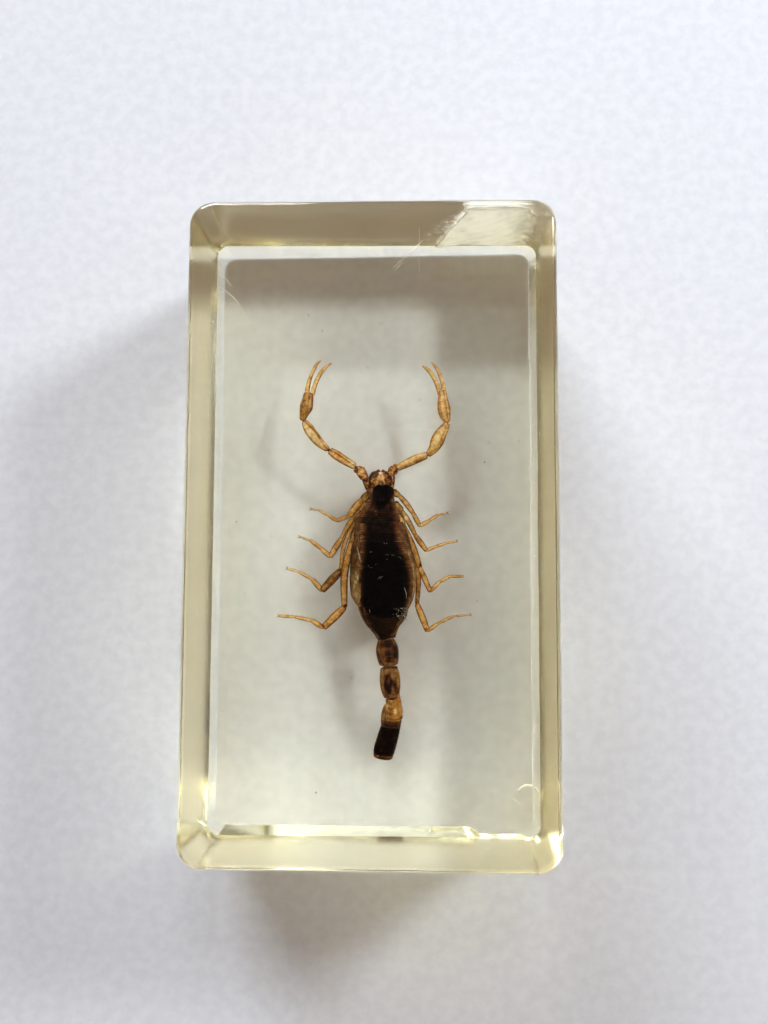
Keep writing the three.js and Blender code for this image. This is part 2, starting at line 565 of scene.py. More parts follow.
block = {
    "cornerRadius": (1.4, 2.7),  # at the base and at the top
    "topEdge": 0.75,  # radius of the rounded edge
    "draft": {"left": 0.7, "right": 0.75, "far": 0.85, "near": 0.7},  # how far each wall leans in
    # the flat edge ground off the base: its widths, and its heights over its widths
    "baseEdge": {"left": 0.85, "right": 0.85, "far": 1.25, "near": 1.05},
    "baseEdgeSteep": {"left": 1.0, "right": 1.0, "far": 1.22, "near": 1.235},
    "farEdgeNarrowing": 0.35,  # share that the far edge loses from left to right
    "nearEdgeEnd": (13.4, 14.2),  # from here to here the near edge loses the next share
    "nearEdgeNarrowing": 0.75,
    "mattWalls": 0.4,  # the shade attribute there
    "mattEdge": 0.06,
    "wobble": (0.05, 9.0),  # how far hand rubbing moves the walls, and over what length
    "chip": {"x": 16.4, "y": -31.3, "wide": 2.4, "deep": 0.22, "ripple": 0.03},
    "bubbles": {"draws": 26, "low": (-17, -33, 3), "high": (18, 33, 18), "radius": (0.035, 0.09)},
    "skin": {"left": 0.7, "right": 1.2, "far": 1.2, "near": 0.5},  # how deep the walls have yellowed
    "skinHeights": (2.4, 19.1),
    "skinGap": 0.16,
}
boxLow, boxHigh = (np.array(v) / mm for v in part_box("resin_block"))
blockWidth, blockLength, blockHeight = boxHigh - boxLow


def wallOutline():
    # Four quarter circles joined by straight runs: the outline's normal at each point, and the point's place
    # on the rectangle that reaches from -1 to 1 along both axes.
    quarter = np.linspace(0, np.pi / 2, 27)
    corners = np.array([[1, 1], [-1, 1], [-1, -1], [1, -1]])
    normals, places = [], []
    for k in range(4):
        turn = quarter + k * np.pi / 2
        run = np.linspace(0, 1, 62 if k % 2 else 36)[1:-1, None]
        normals.append(np.stack([np.cos(turn), np.sin(turn)], -1))
        normals.append(np.repeat(normals[-1][-1:], len(run), 0))
        places.append(np.repeat(corners[[k]], len(turn), 0))
        places.append(corners[k] * (1 - run) + corners[(k + 1) % 4] * run)
    return np.vstack(normals), np.vstack(places)


wallNormal, wallPlace = wallOutline()


def bySide(sides):
    # the values of the four sides as one for x and one for y at every outline point, blended along the walls
    right, far = wallPlace.T / 2 + 0.5
    return np.stack([sides["left"] + (sides["right"] - sides["left"]) * right,
                     sides["near"] + (sides["far"] - sides["near"]) * far], -1)


def onOutline(inset, height):
    # place * (half size - inset - radius) + normal * radius, with a radius that grows from base to top
    low, high = block["cornerRadius"]
    radius = (low + (high - low) * height / blockHeight)[..., None]
    return wallPlace * (np.array([blockWidth, blockLength]) / 2 - inset - radius) + wallNormal * radius


def blockGrid():
    # Rows: base face from its centre out, the flat ground off its edge, wall, rounded top edge (a quarter
    # circle), top face to its centre. Each row's inset is a share of the draft and of the two edges.
    right, far = wallPlace.T / 2 + 0.5
    draft = bySide(block["draft"])
    baseEdge = bySide(block["baseEdge"])
    baseEdge[:, 1] *= 1 - block["farEdgeNarrowing"] * right * far
    ended = ease(wallPlace[:, 0] * blockWidth / 2, *block["nearEdgeEnd"])
    baseEdge[:, 1] *= 1 - block["nearEdgeNarrowing"] * ended * (1 - far)
    baseHeight = (bySide(block["baseEdgeSteep"]) * baseEdge * wallNormal**2).sum(-1)
    face = np.append(np.linspace(0, 0.96, 24), 0.994)
    ground = np.array([0, 0.02, 0.06, 0.2, 0.4, 0.6, 0.8, 0.94, 0.98, 1])
    rise = np.concatenate([[0.004, 0.012], np.linspace(0.03, 1, 28)[:-1]])
    bend = np.linspace(0, np.pi / 2, 18)
    parts = (face, ground, rise, bend, face[::-1])
    leaning = np.concatenate([face * 0 + 1, ground * 0 + 1, 1 - rise, bend * 0, face * 0])
    lower = np.concatenate([face * 0 + 1, 1 - ground, rise * 0, bend * 0, face * 0])
    upper = np.concatenate([face * 0, ground * 0, rise * 0, 1 - np.cos(bend), face * 0 + 1])
    share = np.concatenate([face, ground * 0 + 1, rise * 0 + 1, bend * 0 + 1, face[::-1]])
    inset = (leaning[:, None, None] * draft + lower[:, None, None] * baseEdge
             + upper[:, None, None] * block["topEdge"])
    wall = blockHeight - block["topEdge"] - baseHeight
    height = np.vstack([
        0 * face[:, None] + 0 * wall,
        ground[:, None] * baseHeight,
        baseHeight + wall * rise[:, None],
        blockHeight - block["topEdge"] * (1 - np.sin(bend[:, None])) + 0 * wall,
        blockHeight + 0 * face[:, None] + 0 * wall,
    ])
    grid = np.concatenate([onOutline(inset, height) * share[:, None, None], height[..., None]], -1)
    wobble, reach = block["wobble"]
    wander = wobble * (1 + cloudy(grid * [1, 1, 0.6], reach, 3))
    grid[..., :2] -= wallNormal * (share[:, None] ** 8 * wander)[..., None]
    starts = np.cumsum([len(part) for part in parts])
    matt = np.zeros(height.shape)
    matt[starts[0]: starts[1]] = block["mattEdge"]
    matt[starts[1]: starts[2]] = block["mattWalls"]
    x, y, z = np.moveaxis(grid, -1, 0)
    # the chip under the near right corner: a shallow scoop with shell ripples
    chip = block["chip"]
    away = np.hypot(x - chip["x"], y - chip["y"])
    scoop = np.clip(1 - (away / chip["wide"]) ** 2, 0, 1)
    ripple = chip["ripple"] * np.sin(away * 6.0) * scoop
    grid[..., 2] += np.where(z < 0.01, scoop**0.6 * chip["deep"] + ripple, 0)
    return grid + boxLow + [blockWidth / 2, blockLength / 2, 0], matt


def yellowedSkin():
    # A frame just inside the walls. Its section goes up the outer side, in, down the inner side and out.
    low, high = block["skinHeights"]
    up, across = np.linspace(low, high, 12), np.linspace(0, 1, 5)[1:-1]
    depth = np.concatenate([up * 0, across, up * 0 + 1, across[::-1]])
    height = np.concatenate([up, across * 0 + high, up[::-1], across * 0 + low])
    height = height[:, None] + 0 * wallNormal[:, 0]
    leaning = (1 - height / blockHeight)[..., None]
    inset = leaning * bySide(block["draft"]) + block["skinGap"]
    inset = inset + depth[:, None, None] * bySide(block["skin"])
    grid = np.concatenate([onOutline(inset, height), height[..., None]], -1)
    return ringShell(grid + boxLow + [blockWidth / 2, blockLength / 2, 0], height * 0)


def makeBlock():
    # the block with hollows for its bubbles, none of them where the scorpion is, and its yellowed skin
    shells = [tubeShell(*blockGrid())]
    bubbles = block["bubbles"]
    for i in range(bubbles["draws"]):
        spot = random.uniform(bubbles["low"], bubbles["high"])
        size = random.uniform(*bubbles["radius"])
        if np.hypot(spot[0] - 1.5, (spot[1] + 3) / 2) > 8:
            shells.append(insideOut(blob(spot, [size] * 3, rings=9, around=10, tone=0)))
    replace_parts(makePiece("resin_block_clear", shells, resinFinish), "resin_block")
    makePiece("yellowed_skin", [yellowedSkin()], yellowedFinish)


makeBlock()
print("block made")


# Outlines of the body seen from above, from the head to the tail.
body = {
    "spine": {"y": (6.3, 3.5, 0.0, -3.0, -5.7, -8.5, -12.2),
              "x": (0.95, 1.05, 1.0, 1.2, 1.48, 1.42, 1.48)},
    "top": {"y": (5.3, 3.0, 0.4, -4.0, -8.4, -12.2), "z": (9.7, 10.25, 10.5, 10.9, 10.6, 9.75)},
    "plates": {
        "y": (1.2, 0, -1, -2, -3, -4, -5, -6, -7, -8, -9, -10, -11, -12, -12.6),
        "left": (-1.6, -1.55, -1.5, -1.5, -1.58, -1.7, -1.78, -1.82, -1.82, -1.76, -1.62, -1.25, -0.6,
                 0.35, 0.6),
        "right": (3.05, 3.2, 3.4, 3.75, 4.15, 4.45, 4.68, 4.7, 4.62, 4.38, 4.1, 3.82, 3.05, 2.42, 2.44),
        "edges": (0.95, -0.15, -1.2, -2.5, -4.05, -6.0, -8.6, -12.5),
        "overlap": (0.14, -0.05),  # how far each plate starts before and ends behind its edges
        "bow": (0.08, 0.05),  # how far the rear edges bow to the tail: the first, and more for each next
        "drop": (0.95, 0.05),  # how far the flanks drop: the first, and more for each next
        "lift": 0.13,
        "thick": 0.10,
        "keel": 0.025,  # heights of the keels, the rear rim, the wrinkles, the grains and the swelling
        "rim": 0.035,
        "wrinkle": 0.018,
        "grain": 0.022,
        "swell": 0.02,
        "wrinkleStep": 0.22,
        "centreTones": (0.74, 0.84, 0.92, 0.98, 0.98, 0.98, 0.98),
        "flankTone": 0.22,
    },
    "carapace": {
        "y": (5.35, 5.0, 4.5, 4.0, 3.5, 3.0, 2.5, 2.0, 1.5, 1.0, 0.85),
        "left": (0.02, -0.02, -0.08, -0.25, -0.45, -0.7, -1.1, -1.5, -1.8, -2.0, -2.0),
        "right": (2.1, 2.38, 2.42, 2.42, 2.5, 2.65, 2.85, 3.0, 3.1, 3.15, 3.1),
        "core": (1.35, 1.3, 1.25, 1.1, 0.85, 0.6, 0.25, 0.05, 0.02, 0.02, 0.02),  # half of the black field
        "eyes": 3.55,
        "furrow": 0.10,  # heights or depths of what stands on the shield
        "mound": 0.20,
        "keel": 0.06,
        "hollow": 0.12,
        "rearGroove": 0.08,
        "grain": 0.04,
        "swell": 0.03,
        "wrinkle": 0.016,
        "wrinkleStep": 0.2,
        "thick": 0.16,
    },
    "skin": {
        "y": (2, 1, 0, -1, -2, -3, -4, -5, -6, -7, -8, -8.6, -9.2, -10, -11, -12, -12.5),
        "left": (-1.7, -2.1, -2.25, -2.3, -2.5, -2.55, -2.6, -2.62, -2.62, -2.5, -2.05, -1.7, -1.25, -0.9,
                 -0.35, 0.45, 0.65),
        "right": (3.1, 3.3, 3.7, 4.1, 4.4, 4.5, 4.7, 4.92, 4.95, 4.9, 4.6, 4.3, 3.85, 3.55, 2.85, 2.35, 2.4),
        "middle": 8.9,
        "heights": (1.7, 2.0, 2.3, 2.5, 2.6, 2.5, 2.3, 1.9, 1.3),
        "pleats": (-28, -15, -4, 8, 20, 160, 172, 184, 195, 208),  # degrees round the body
        "pleat": 0.03,
    },
    "belly": {
        "edges": (-1.9, -3.3, -4.9, -6.6, -8.5, -12.2),
        "halves": (2.3, 2.6, 2.85, 2.85, 2.5, 1.1),
        "low": 7.5,
        "curl": 0.75,
        "slit": 0.12,
        "thick": 0.12,
    },
}


def spineX(y):
    return downLine(body["spine"], "x", y)


def topZ(y):
    return downLine(body["top"], "z", y)


def plateEnds(k):
    # where back plate k starts, under the one before it, and where it ends
    shape = body["plates"]
    return [edge + more for edge, more in zip(shape["edges"][k:k + 2], shape["overlap"])]


def plateSurface(k, u, v):
    # A back plate's upper side: u runs -1 to 1 from left to right and v 0 to 1 from front to back. x follows
    # the outline at each y, y bows to the tail by bow * (1 - u^2), and the height is the body's top line
    # less drop * |u|^2.6 plus lift * (v^2 - 0.35).
    shape = body["plates"]
    front, back = plateEnds(k)
    straight = front + (back - front) * v + 0 * u
    left, right = downLine(shape, "left", straight), downLine(shape, "right", straight)
    x = left + (right - left) * (u + 1) / 2
    bow = shape["bow"][0] + shape["bow"][1] * (k - 1 + v)
    y = straight - bow * (1 - u * u)
    drop = shape["drop"][0] + shape["drop"][1] * k
    lift = shape["lift"] * (0.4 if k == 6 else 1)
    z = topZ(y) - drop * np.abs(u) ** 2.6 + lift * (v * v - 0.35)
    return x, y, z


def onBack(x, y):
    # the height of the back plates at a place seen from above
    shape = body["plates"]
    left, right = downLine(shape, "left", y), downLine(shape, "right", y)
    u = np.clip(2 * (x - left) / (right - left) - 1, -1, 1)
    k = int(np.clip(np.searchsorted(-np.array(shape["edges"]), -y) - 1, 0, 6))
    front, back = plateEnds(k)
    v = np.clip((front - y) / (front - back), 0, 1)
    return float(plateSurface(k, np.array([[u]]), np.array([[v]]))[2][0, 0])


def makeBackPlates():
    # Seven overlapping plates. On plateSurface stand three low keels, a thin raised rear rim, cross wrinkles
    # whose spacing wanders, and grains.
    shape = body["plates"]
    for k in range(7):
        u, v = plateGrid(90 if k == 6 else 50, 100)
        x, y, z = plateSurface(k, u, v)
        seed = 40 + 9 * k
        flat = pointsAt(x, y, 0)
        keels = bell(u, 0, 0.045) + 0.6 * bell(np.abs(u), 0.5, 0.045)
        rim = bell(v, 0.96, 0.022) * (k < 6)
        wave = np.sin(y * 2 * np.pi / shape["wrinkleStep"] + 2.4 * noise(flat, 1.1, seed))
        z = z + shape["keel"] * keels + shape["rim"] * rim
        z = z + shape["wrinkle"] * wave * (0.6 + 0.4 * noise(flat, 0.5, seed + 1))
        z = z + shape["grain"] * np.clip(noise(flat, 0.13, seed + 2), 0, 1)
        z = z + shape["swell"] * cloudy(flat, 0.5, seed + 3)
        crest = np.clip(wave, 0, 1)
        outer = ease(np.abs(u), 0.42 + 0.22 * ease(-y, 0.5, 5.5), 1.0)
        centre = shape["centreTones"][k]
        shade = centre + (shape["flankTone"] - centre) * outer - 0.2 * rim * (0.35 + outer)
        # painted highlights: the wrinkle crests are paler, in place of glints of light on the wrinkles
        shade = shade - 0.22 * crest * np.clip(noise(flat * [0.4, 1, 1], 0.25, seed + 5), 0, 1)
        shade = shade - 0.10 * crest * (0.25 + outer) + 0.08 * noise(flat, 0.3, seed + 4)
        if k == 6:  # the last one is black in front and brown with pale rims behind
            reach = np.sqrt(np.clip(1 - ((x - 1.6) / 2.4) ** 2, 0, 1))
            black = ease(y + 8.7 + 1.3 * reach, -0.25, 0.25)
            brown = 0.60 - 0.22 * ease(np.abs(u), 0.6, 0.8) + 0.3 * bell(np.abs(u), 0.86, 0.03)
            brown = brown - 0.3 * bell(np.abs(u), 0.96, 0.04)
            brown = brown - 0.08 * wave * between(y, -11.5, -10.9, 0.1)
            shade = brown + (shade - brown) * black
        plate = plateShell(x, y, z, u, v, -shape["thick"], shade)
        makePiece(f"back_plate_{k + 1}", [plate], backFinish)


def makeCarapace():
    # The head shield: its edges follow the outline, its height is the top line less (0.5 + 0.7 v) * |u|^2.4,
    # with a mound for the middle eyes, a furrow behind it, two keels, hollows beside them and grains.
    shape = body["carapace"]
    front, back = shape["y"][0], shape["y"][-1]
    u, v = plateGrid(110, 120)
    straight = front + (back - front) * v + 0 * u
    left, right = downLine(shape, "left", straight), downLine(shape, "right", straight)
    x = left + (right - left) * (u + 1) / 2
    y = straight - (0.12 * bell(u, 0, 0.25) + 0.25 * np.abs(u) ** 3) * (1 - v) ** 4
    y = y - 0.1 * (1 - u * u) * v**4
    z = topZ(y) - (0.5 + 0.7 * v) * np.abs(u) ** 2.4
    z = z - shape["furrow"] * bell(u, 0, 0.05) * ease(v, 0.45, 0.6)
    z = z + shape["mound"] * bell(y, shape["eyes"], 0.35) * bell(u, 0, 0.24)
    for lean in (-1, 1):
        z = z + shape["keel"] * bell(u, lean * (0.30 + 0.25 * v), 0.05)
        z = z - shape["hollow"] * bell(u, lean * 0.55, 0.10) * bell(v, 0.62, 0.10)
    z = z - shape["rearGroove"] * bell(v, 0.9, 0.03) * (1 - 0.4 * np.abs(u))
    flat = pointsAt(x, y, 0)
    rear = ease(v, 0.5, 0.65)
    wave = np.sin(y * 2 * np.pi / shape["wrinkleStep"] + 1.5 * noise(flat, 0.8, 26)) * rear
    z = z + shape["grain"] * np.clip(noise(flat, 0.15, 21), 0, 1)
    z = z + shape["swell"] * cloudy(flat, 0.7, 22) + shape["wrinkle"] * wave
    away = np.abs(x - (left + right) / 2)
    core = downLine(shape, "core", straight)
    black = (1 - ease(away, core * 0.7, core * 1.1 + 0.15)) * ease(core, 0.02, 0.5)
    flank = ease(np.abs(u), 0.55, 0.95)
    shade = 0.54 + 0.12 * ease(v, 0.6, 1.0) * (1 - flank) - np.where(u > 0, 0.34, 0.26) * flank
    shade = shade - 0.10 * wave
    shade = shade + (0.98 - shade) * black + 0.10 * noise(flat, 0.35, 23)
    shield = plateShell(x, y, z, u, v, -shape["thick"], shade)
    makePiece("carapace", [shield], backFinish)
    makeEyes(shape["eyes"], front)


def makeEyes(middle, front):
    # one large eye on each side of the mound and three small ones along each front corner
    eyes = []
    for lean in (-1, 1):
        place = (spineX(middle) + lean * 0.17, middle, topZ(middle) + 0.16)
        eyes.append(blob(place, (0.12, 0.13, 0.11), tone=0.9))
        for k in range(3):
            y = front - 0.32 - 0.17 * k
            place = (1.15 + lean * (1.02 + 0.03 * k), y, topZ(y) - 0.3)
            eyes.append(blob(place, (0.065, 0.07, 0.06), rings=9, around=12, tone=0.9))
    makePiece("eyes", eyes, eyeFinish)


def makeSideSkin():
    # The soft skin between back and belly plates: a wide limb that follows the outline, pleated lengthwise.
    shape = body["skin"]
    y, left, right = (np.array(shape[key], float) for key in ("y", "left", "right"))

    def look(across, along, grid):
        x, y, z = np.moveaxis(grid, -1, 0)
        front = np.where(x > 1, ease(y, -3.4, -2.4), ease(y, -5.2, -4.2))
        stripes = np.sin(np.hypot(x - 1.2, 0.55 * (y + 6.5)) * 11.0 + noise(grid, 1.0, 65))
        streaks = noise(grid * [1, 0.12, 1], 0.16, 66)
        shade = 0.56 + 0.14 * streaks
        # painted light: the strip on the right side is paler, as lit skin, than the strip on the left
        litRightStrip = ease(x, 4.25, 4.45) * between(y, -7.6, -3.5, 0.9)
        wedge = bell(x - 0.35 * (y + 2.8), 4.1, 0.42) * bell(y, -2.8, 0.7)
        shade = shade - 0.33 * litRightStrip - 0.10 * between(y, -8.6, -6.3, 0.4) * (x < 0)
        shade = shade + (0.78 + 0.08 * stripes - shade) * front
        shade = shade - 0.35 * wedge + 0.25 * ease(-y, 8.6, 9.4)
        return shade + 0.25 * ease(np.abs(across), 0.93, 1.0)

    path = pointsAt((left + right) / 2, y, shape["middle"])
    pleats = [(degrees, shape["pleat"], 0) for degrees in shape["pleats"]]
    shell = limb(path, right - left, shape["heights"], look, rings=130, around=140, square=2.6,
                 ends=(0.9, 0.5), keels=pleats, ridgeTone=0.12, grain=0.04, grainCell=0.35, seed=60)
    makePiece("side_skin", [shell], skinFinish)


def makeBellyPlates():
    # Five plates whose sides curl up by curl * |u|^3, with a pair of breathing slits on the first four.
    shape = body["belly"]
    u, v = plateGrid(36, 70)
    for k in range(5):
        front, back = shape["edges"][k] + 0.1, shape["edges"][k + 1] - 0.08
        half = shape["halves"][k] + (shape["halves"][k + 1] - shape["halves"][k]) * v
        y = front + (back - front) * v + 0 * u
        x = spineX(y) + u * half
        flat = pointsAt(x, y, 0)
        z = shape["low"] + (0.17 if k == 4 else -0.08) * v + shape["curl"] * np.abs(u) ** 3
        z = z + 0.03 * cloudy(flat, 0.6, 70 + k)
        slit = bell(np.abs(u) * half, 0.55 * half, 0.26) * bell(v, 0.55, 0.09)
        z = z + shape["slit"] * slit * (k < 4)
        shade = 0.35 + 0.06 * k + 0.2 * noise(flat, 0.5, 80 + k) + 0.3 * ease(v, 0.9, 0.96)
        plate = plateShell(x, y, z, u, v, shape["thick"], shade)
        makePiece(f"belly_plate_{k + 1}", [plate], amberFinish)


jaws = {
    "left": {"hand": ((0.22, 4.9), (0.17, 5.9), (0.42, 6.95)), "tips": ((0.72, 7.12), (0.86, 6.9))},
    "right": {"hand": ((1.52, 4.9), (1.52, 5.9), (1.26, 6.95)), "tips": ((1.02, 7.12), (0.9, 6.9))},
}


def makeJaws():
    # each jaw is an egg-shaped hand with a fixed and a movable finger that meet in front
    def look(across, along, grid):
        x, y, z = np.moveaxis(grid, -1, 0)
        reach = np.hypot(x - 0.85, y - 5.7)
        # painted highlights: the pale V and the pale line along the seam between the jaws
        pale = bell(np.abs(x - 0.87), 0.08 + 0.3 * (6.7 - y), 0.13) * between(y, 5.3, 6.8, 0.12)
        middle = bell(x, 0.87, 0.16) * between(y, 4.9, 6.2, 0.2)
        dark = np.clip(cloudy(grid, 0.45, 95), 0, 1)
        return 0.6 - 0.55 * pale - 0.3 * middle + 0.35 * bell(reach, 1.25, 0.08) + 0.8 * dark

    for name, jaw in jaws.items():
        hand = limb(level(jaw["hand"], (9.05, 9.15, 9.1)), (1.15, 1.42, 1.15), (0.9, 1.15, 0.85), look,
                    rings=60, around=44, ends=(0.5, 0.6), grain=0.06, mottle=0.3, seed=90)
        fingers = []
        x, y = jaw["hand"][2]
        for tip in jaw["tips"]:
            path = ((x, y - 0.3), (x * 0.7 + tip[0] * 0.3, y - 0.02), tip)
            fingers.append(limb(level(path, (9.1, 9.1, 9.0)), (0.5, 0.34, 0.14), (0.55, 0.4, 0.14), look,
                                rings=26, around=18, ends=(0.15, 0.06), seed=92))
        makePiece(f"chelicera_{name}", [hand] + fingers, redFinish)


# Each arm's parts from the body outwards: the places along it seen from above, its widths there and its
# look.
arms = {
    "left": {
        "coxa": {"path": ((-0.2, 4.6), (-0.6, 5.5), (-0.95, 6.25)), "wide": (1.0, 1.1, 0.9),
                 "look": limbLook(0.52)},
        "trochanter": {"path": ((-1.0, 6.1), (-1.45, 6.85), (-1.95, 7.35)), "wide": (0.9, 1.15, 0.9),
                       "look": limbLook(0.36, 0.3, 0.4)},
        "femur": {"path": ((-2.15, 7.5), (-3.3, 8.15), (-4.5, 8.95), (-5.15, 9.35)),
                  "wide": (0.8, 1.0, 1.05, 0.75),
                  "look": limbLook(0.30, stripes=[((0.1, 0.25, 0.1), 0.2, 0.4)])},
        "patella": {"path": ((-5.3, 9.45), (-6.2, 10.2), (-7.1, 11.25), (-7.75, 12.2), (-8.15, 12.8)),
                    "wide": (0.6, 1.05, 1.25, 1.1, 0.6),
                    "look": limbLook(0.25, 0.3, stripes=[((0.0, 0.62, 0.2), 0.16, 0.5)])},
        "hand": {"path": ((-8.32, 12.9), (-8.1, 13.7), (-7.87, 14.4), (-7.72, 15.2), (-7.6, 16.15)),
                 "wide": (0.6, 1.1, 1.5, 1.35, 1.1),
                 "look": limbLook(0.46, 0.22, stripes=[((0.3, 0.4, 0.5), 0.1, -0.15),
                                                       ((-0.2, -0.3, -0.3), 0.1, 0.18)])},
        "outerFinger": {"path": ((-7.85, 15.9), (-7.65, 17.2), (-7.35, 18.2), (-7.05, 18.9), (-6.7, 19.6),
                                 (-6.2, 20.05)), "wide": (0.55, 0.5, 0.42, 0.4, 0.3, 0.15),
                        "look": limbLook(0.36, 0.25, 0.0)},
        "innerFinger": {"path": ((-7.2, 15.9), (-6.95, 16.9), (-6.55, 17.9), (-6.1, 18.7), (-5.5, 19.35),
                                 (-4.95, 19.75)), "wide": (0.6, 0.52, 0.48, 0.45, 0.3, 0.15),
                        "look": limbLook(0.36, 0.25, 0.0)},
    },
    "right": {
        "coxa": {"path": ((1.85, 4.7), (2.0, 5.9), (2.1, 6.6)), "wide": (0.9, 1.0, 0.85),
                 "look": limbLook(0.5)},
        "trochanter": {"path": ((2.0, 6.5), (2.3, 7.1), (2.8, 7.25)), "wide": (0.8, 1.0, 0.85),
                       "look": limbLook(0.34, 0.35, 0.4)},
        "femur": {"path": ((2.8, 7.3), (4.0, 7.9), (5.1, 8.4), (6.25, 8.8)), "wide": (0.7, 0.98, 1.03, 0.8),
                  "look": limbLook(0.30, stripes=[((0.4, 0.45, 0.4), 0.14, 0.25)])},
        "patella": {"path": ((6.3, 8.8), (7.0, 9.6), (7.35, 10.3), (7.85, 11.3), (8.4, 12.2), (8.6, 12.6)),
                    "wide": (0.6, 1.2, 1.55, 1.4, 0.9, 0.6),
                    "look": limbLook(0.32, 0.35, stripes=[((0.3, 0.45, 0.2), 0.12, 0.25)])},
        "hand": {"path": ((8.65, 12.7), (8.35, 13.4), (8.2, 14.2), (8.1, 15.0), (8.05, 15.8), (8.0, 16.4)),
                 "wide": (0.6, 1.25, 1.5, 1.3, 1.05, 0.95),
                 "look": limbLook(0.24, 0.4, stripes=[((0.3, 0.35, 0.3), 0.1, 0.2)])},
        "outerFinger": {"path": ((8.25, 15.9), (8.05, 17.2), (7.8, 18.0), (7.5, 18.8), (7.0, 19.5),
                                 (6.65, 19.95)), "wide": (0.58, 0.5, 0.45, 0.4, 0.28, 0.15),
                        "look": limbLook(0.34, 0.25, 0.0)},
        "innerFinger": {"path": ((7.75, 15.9), (7.35, 17.2), (6.85, 18.2), (6.2, 19.0), (5.65, 19.4)),
                        "wide": (0.58, 0.52, 0.48, 0.4, 0.15), "look": limbLook(0.34, 0.25, 0.0)},
    },
}


def level(points, heights):
    # gives each point seen from above its height, spread evenly along the list
    heights = np.interp(np.linspace(0, 1, len(points)), np.linspace(0, 1, len(heights)), heights)
    return [(x, y, z) for (x, y), z in zip(points, heights)]


# What the parts of both arms share: heights in the block, height over width, rings and surface, and the
# keels: their degrees round the limb, height and beads per mm.
armKinds = {
    "coxa": {"z": (8.5, 8.7), "tall": 1.1, "rings": 34, "grain": 0.07, "mottle": 0.4,
             "keels": ((28, 152), 0.04, 5)},
    "trochanter": {"z": (8.8, 9.0), "tall": 0.95, "rings": 40, "grain": 0.09, "mottle": 0.4,
                   "keels": ((28, 152, 208, 332), 0.04, 5)},
    "femur": {"z": (9.0, 9.2, 9.2), "tall": 0.9, "rings": 80, "grain": 0.02, "mottle": 0.16,
              "keels": ((28, 152, 208, 332), 0.04, 5)},
    "patella": {"z": (9.2, 9.35, 9.2), "tall": 0.88, "rings": 80, "grain": 0.02, "mottle": 0.16,
                "keels": ((28, 152, 208, 332), 0.04, 5)},
    "hand": {"z": (9.2, 9.3, 9.2), "tall": 0.95, "rings": 90, "grain": 0.015, "mottle": 0.16,
             "keels": ((30, 75, 120, 165), 0.02, 0)},
    "outerFinger": {"z": (9.2, 9.15, 9.0, 8.85), "tall": 0.95, "rings": 90, "grain": 0.01, "mottle": 0.16,
                    "keels": ((0, 180), 0.02, 6)},
    "innerFinger": {"z": (9.2, 9.15, 9.0, 8.85), "tall": 0.95, "rings": 90, "grain": 0.01, "mottle": 0.16,
                    "keels": ((0, 180), 0.02, 6)},
}
armPieces = {
    "base": (("coxa", "trochanter"), redFinish),
    "femur": (("femur",), amberFinish),
    "patella": (("patella",), amberFinish),
    "hand": (("hand", "outerFinger"), amberFinish),
    "moving_finger": (("innerFinger",), amberFinish),
}
armLumps = {"left": ((-1.7, 6.6), (-1.2, 7.2), (-2.1, 7.0)), "right": ((2.5, 7.6), (2.55, 6.75))}


def makeArms():
    # Coxa and trochanter, femur, patella, hand with its fixed finger, and moving finger; each is a limb.
    # Dark necks join them, and round lumps stand at the base.
    for name, arm in arms.items():
        shells = {}
        joints = []
        for index, (key, kind) in enumerate(armKinds.items()):
            part = arm[key]
            line = [np.array(p) for p in level(part["path"], kind["z"])]
            start, end = unit(line[1] - line[0]), unit(line[-1] - line[-2])
            joints += [line[0] + start * 0.25, line[-1] - end * 0.25]
            line[0] = line[0] - start * 0.08
            tall = [w * kind["tall"] for w in part["wide"]]
            degrees, height, beads = kind["keels"]
            shells[key] = limb(line, part["wide"], tall, part["look"], rings=kind["rings"], around=44,
                               square=2.4, ends=(0.2, 0.16), keels=[(d, height, beads) for d in degrees],
                               ridgeTone=0.25, grain=kind["grain"], mottle=kind["mottle"],
                               seed=100 + index)
        necks = [limb([a, (a + b) / 2, b], (0.5, 0.42, 0.5), (0.55, 0.5, 0.55), 0.7, rings=24, around=20)
                 for a, b in zip(joints[1:9:2], joints[2:9:2])]
        lumps = [blob((x, y, 8.95), (0.24, 0.24, 0.3), rough=0.2, seed=i, tone=0.45)
                 for i, (x, y) in enumerate(armLumps[name])]
        for piece, (keys, finish) in armPieces.items():
            parts = [shells[key] for key in keys] + (lumps + necks if piece == "base" else [])
            makePiece(f"arm_{name}_{piece}", parts, finish)


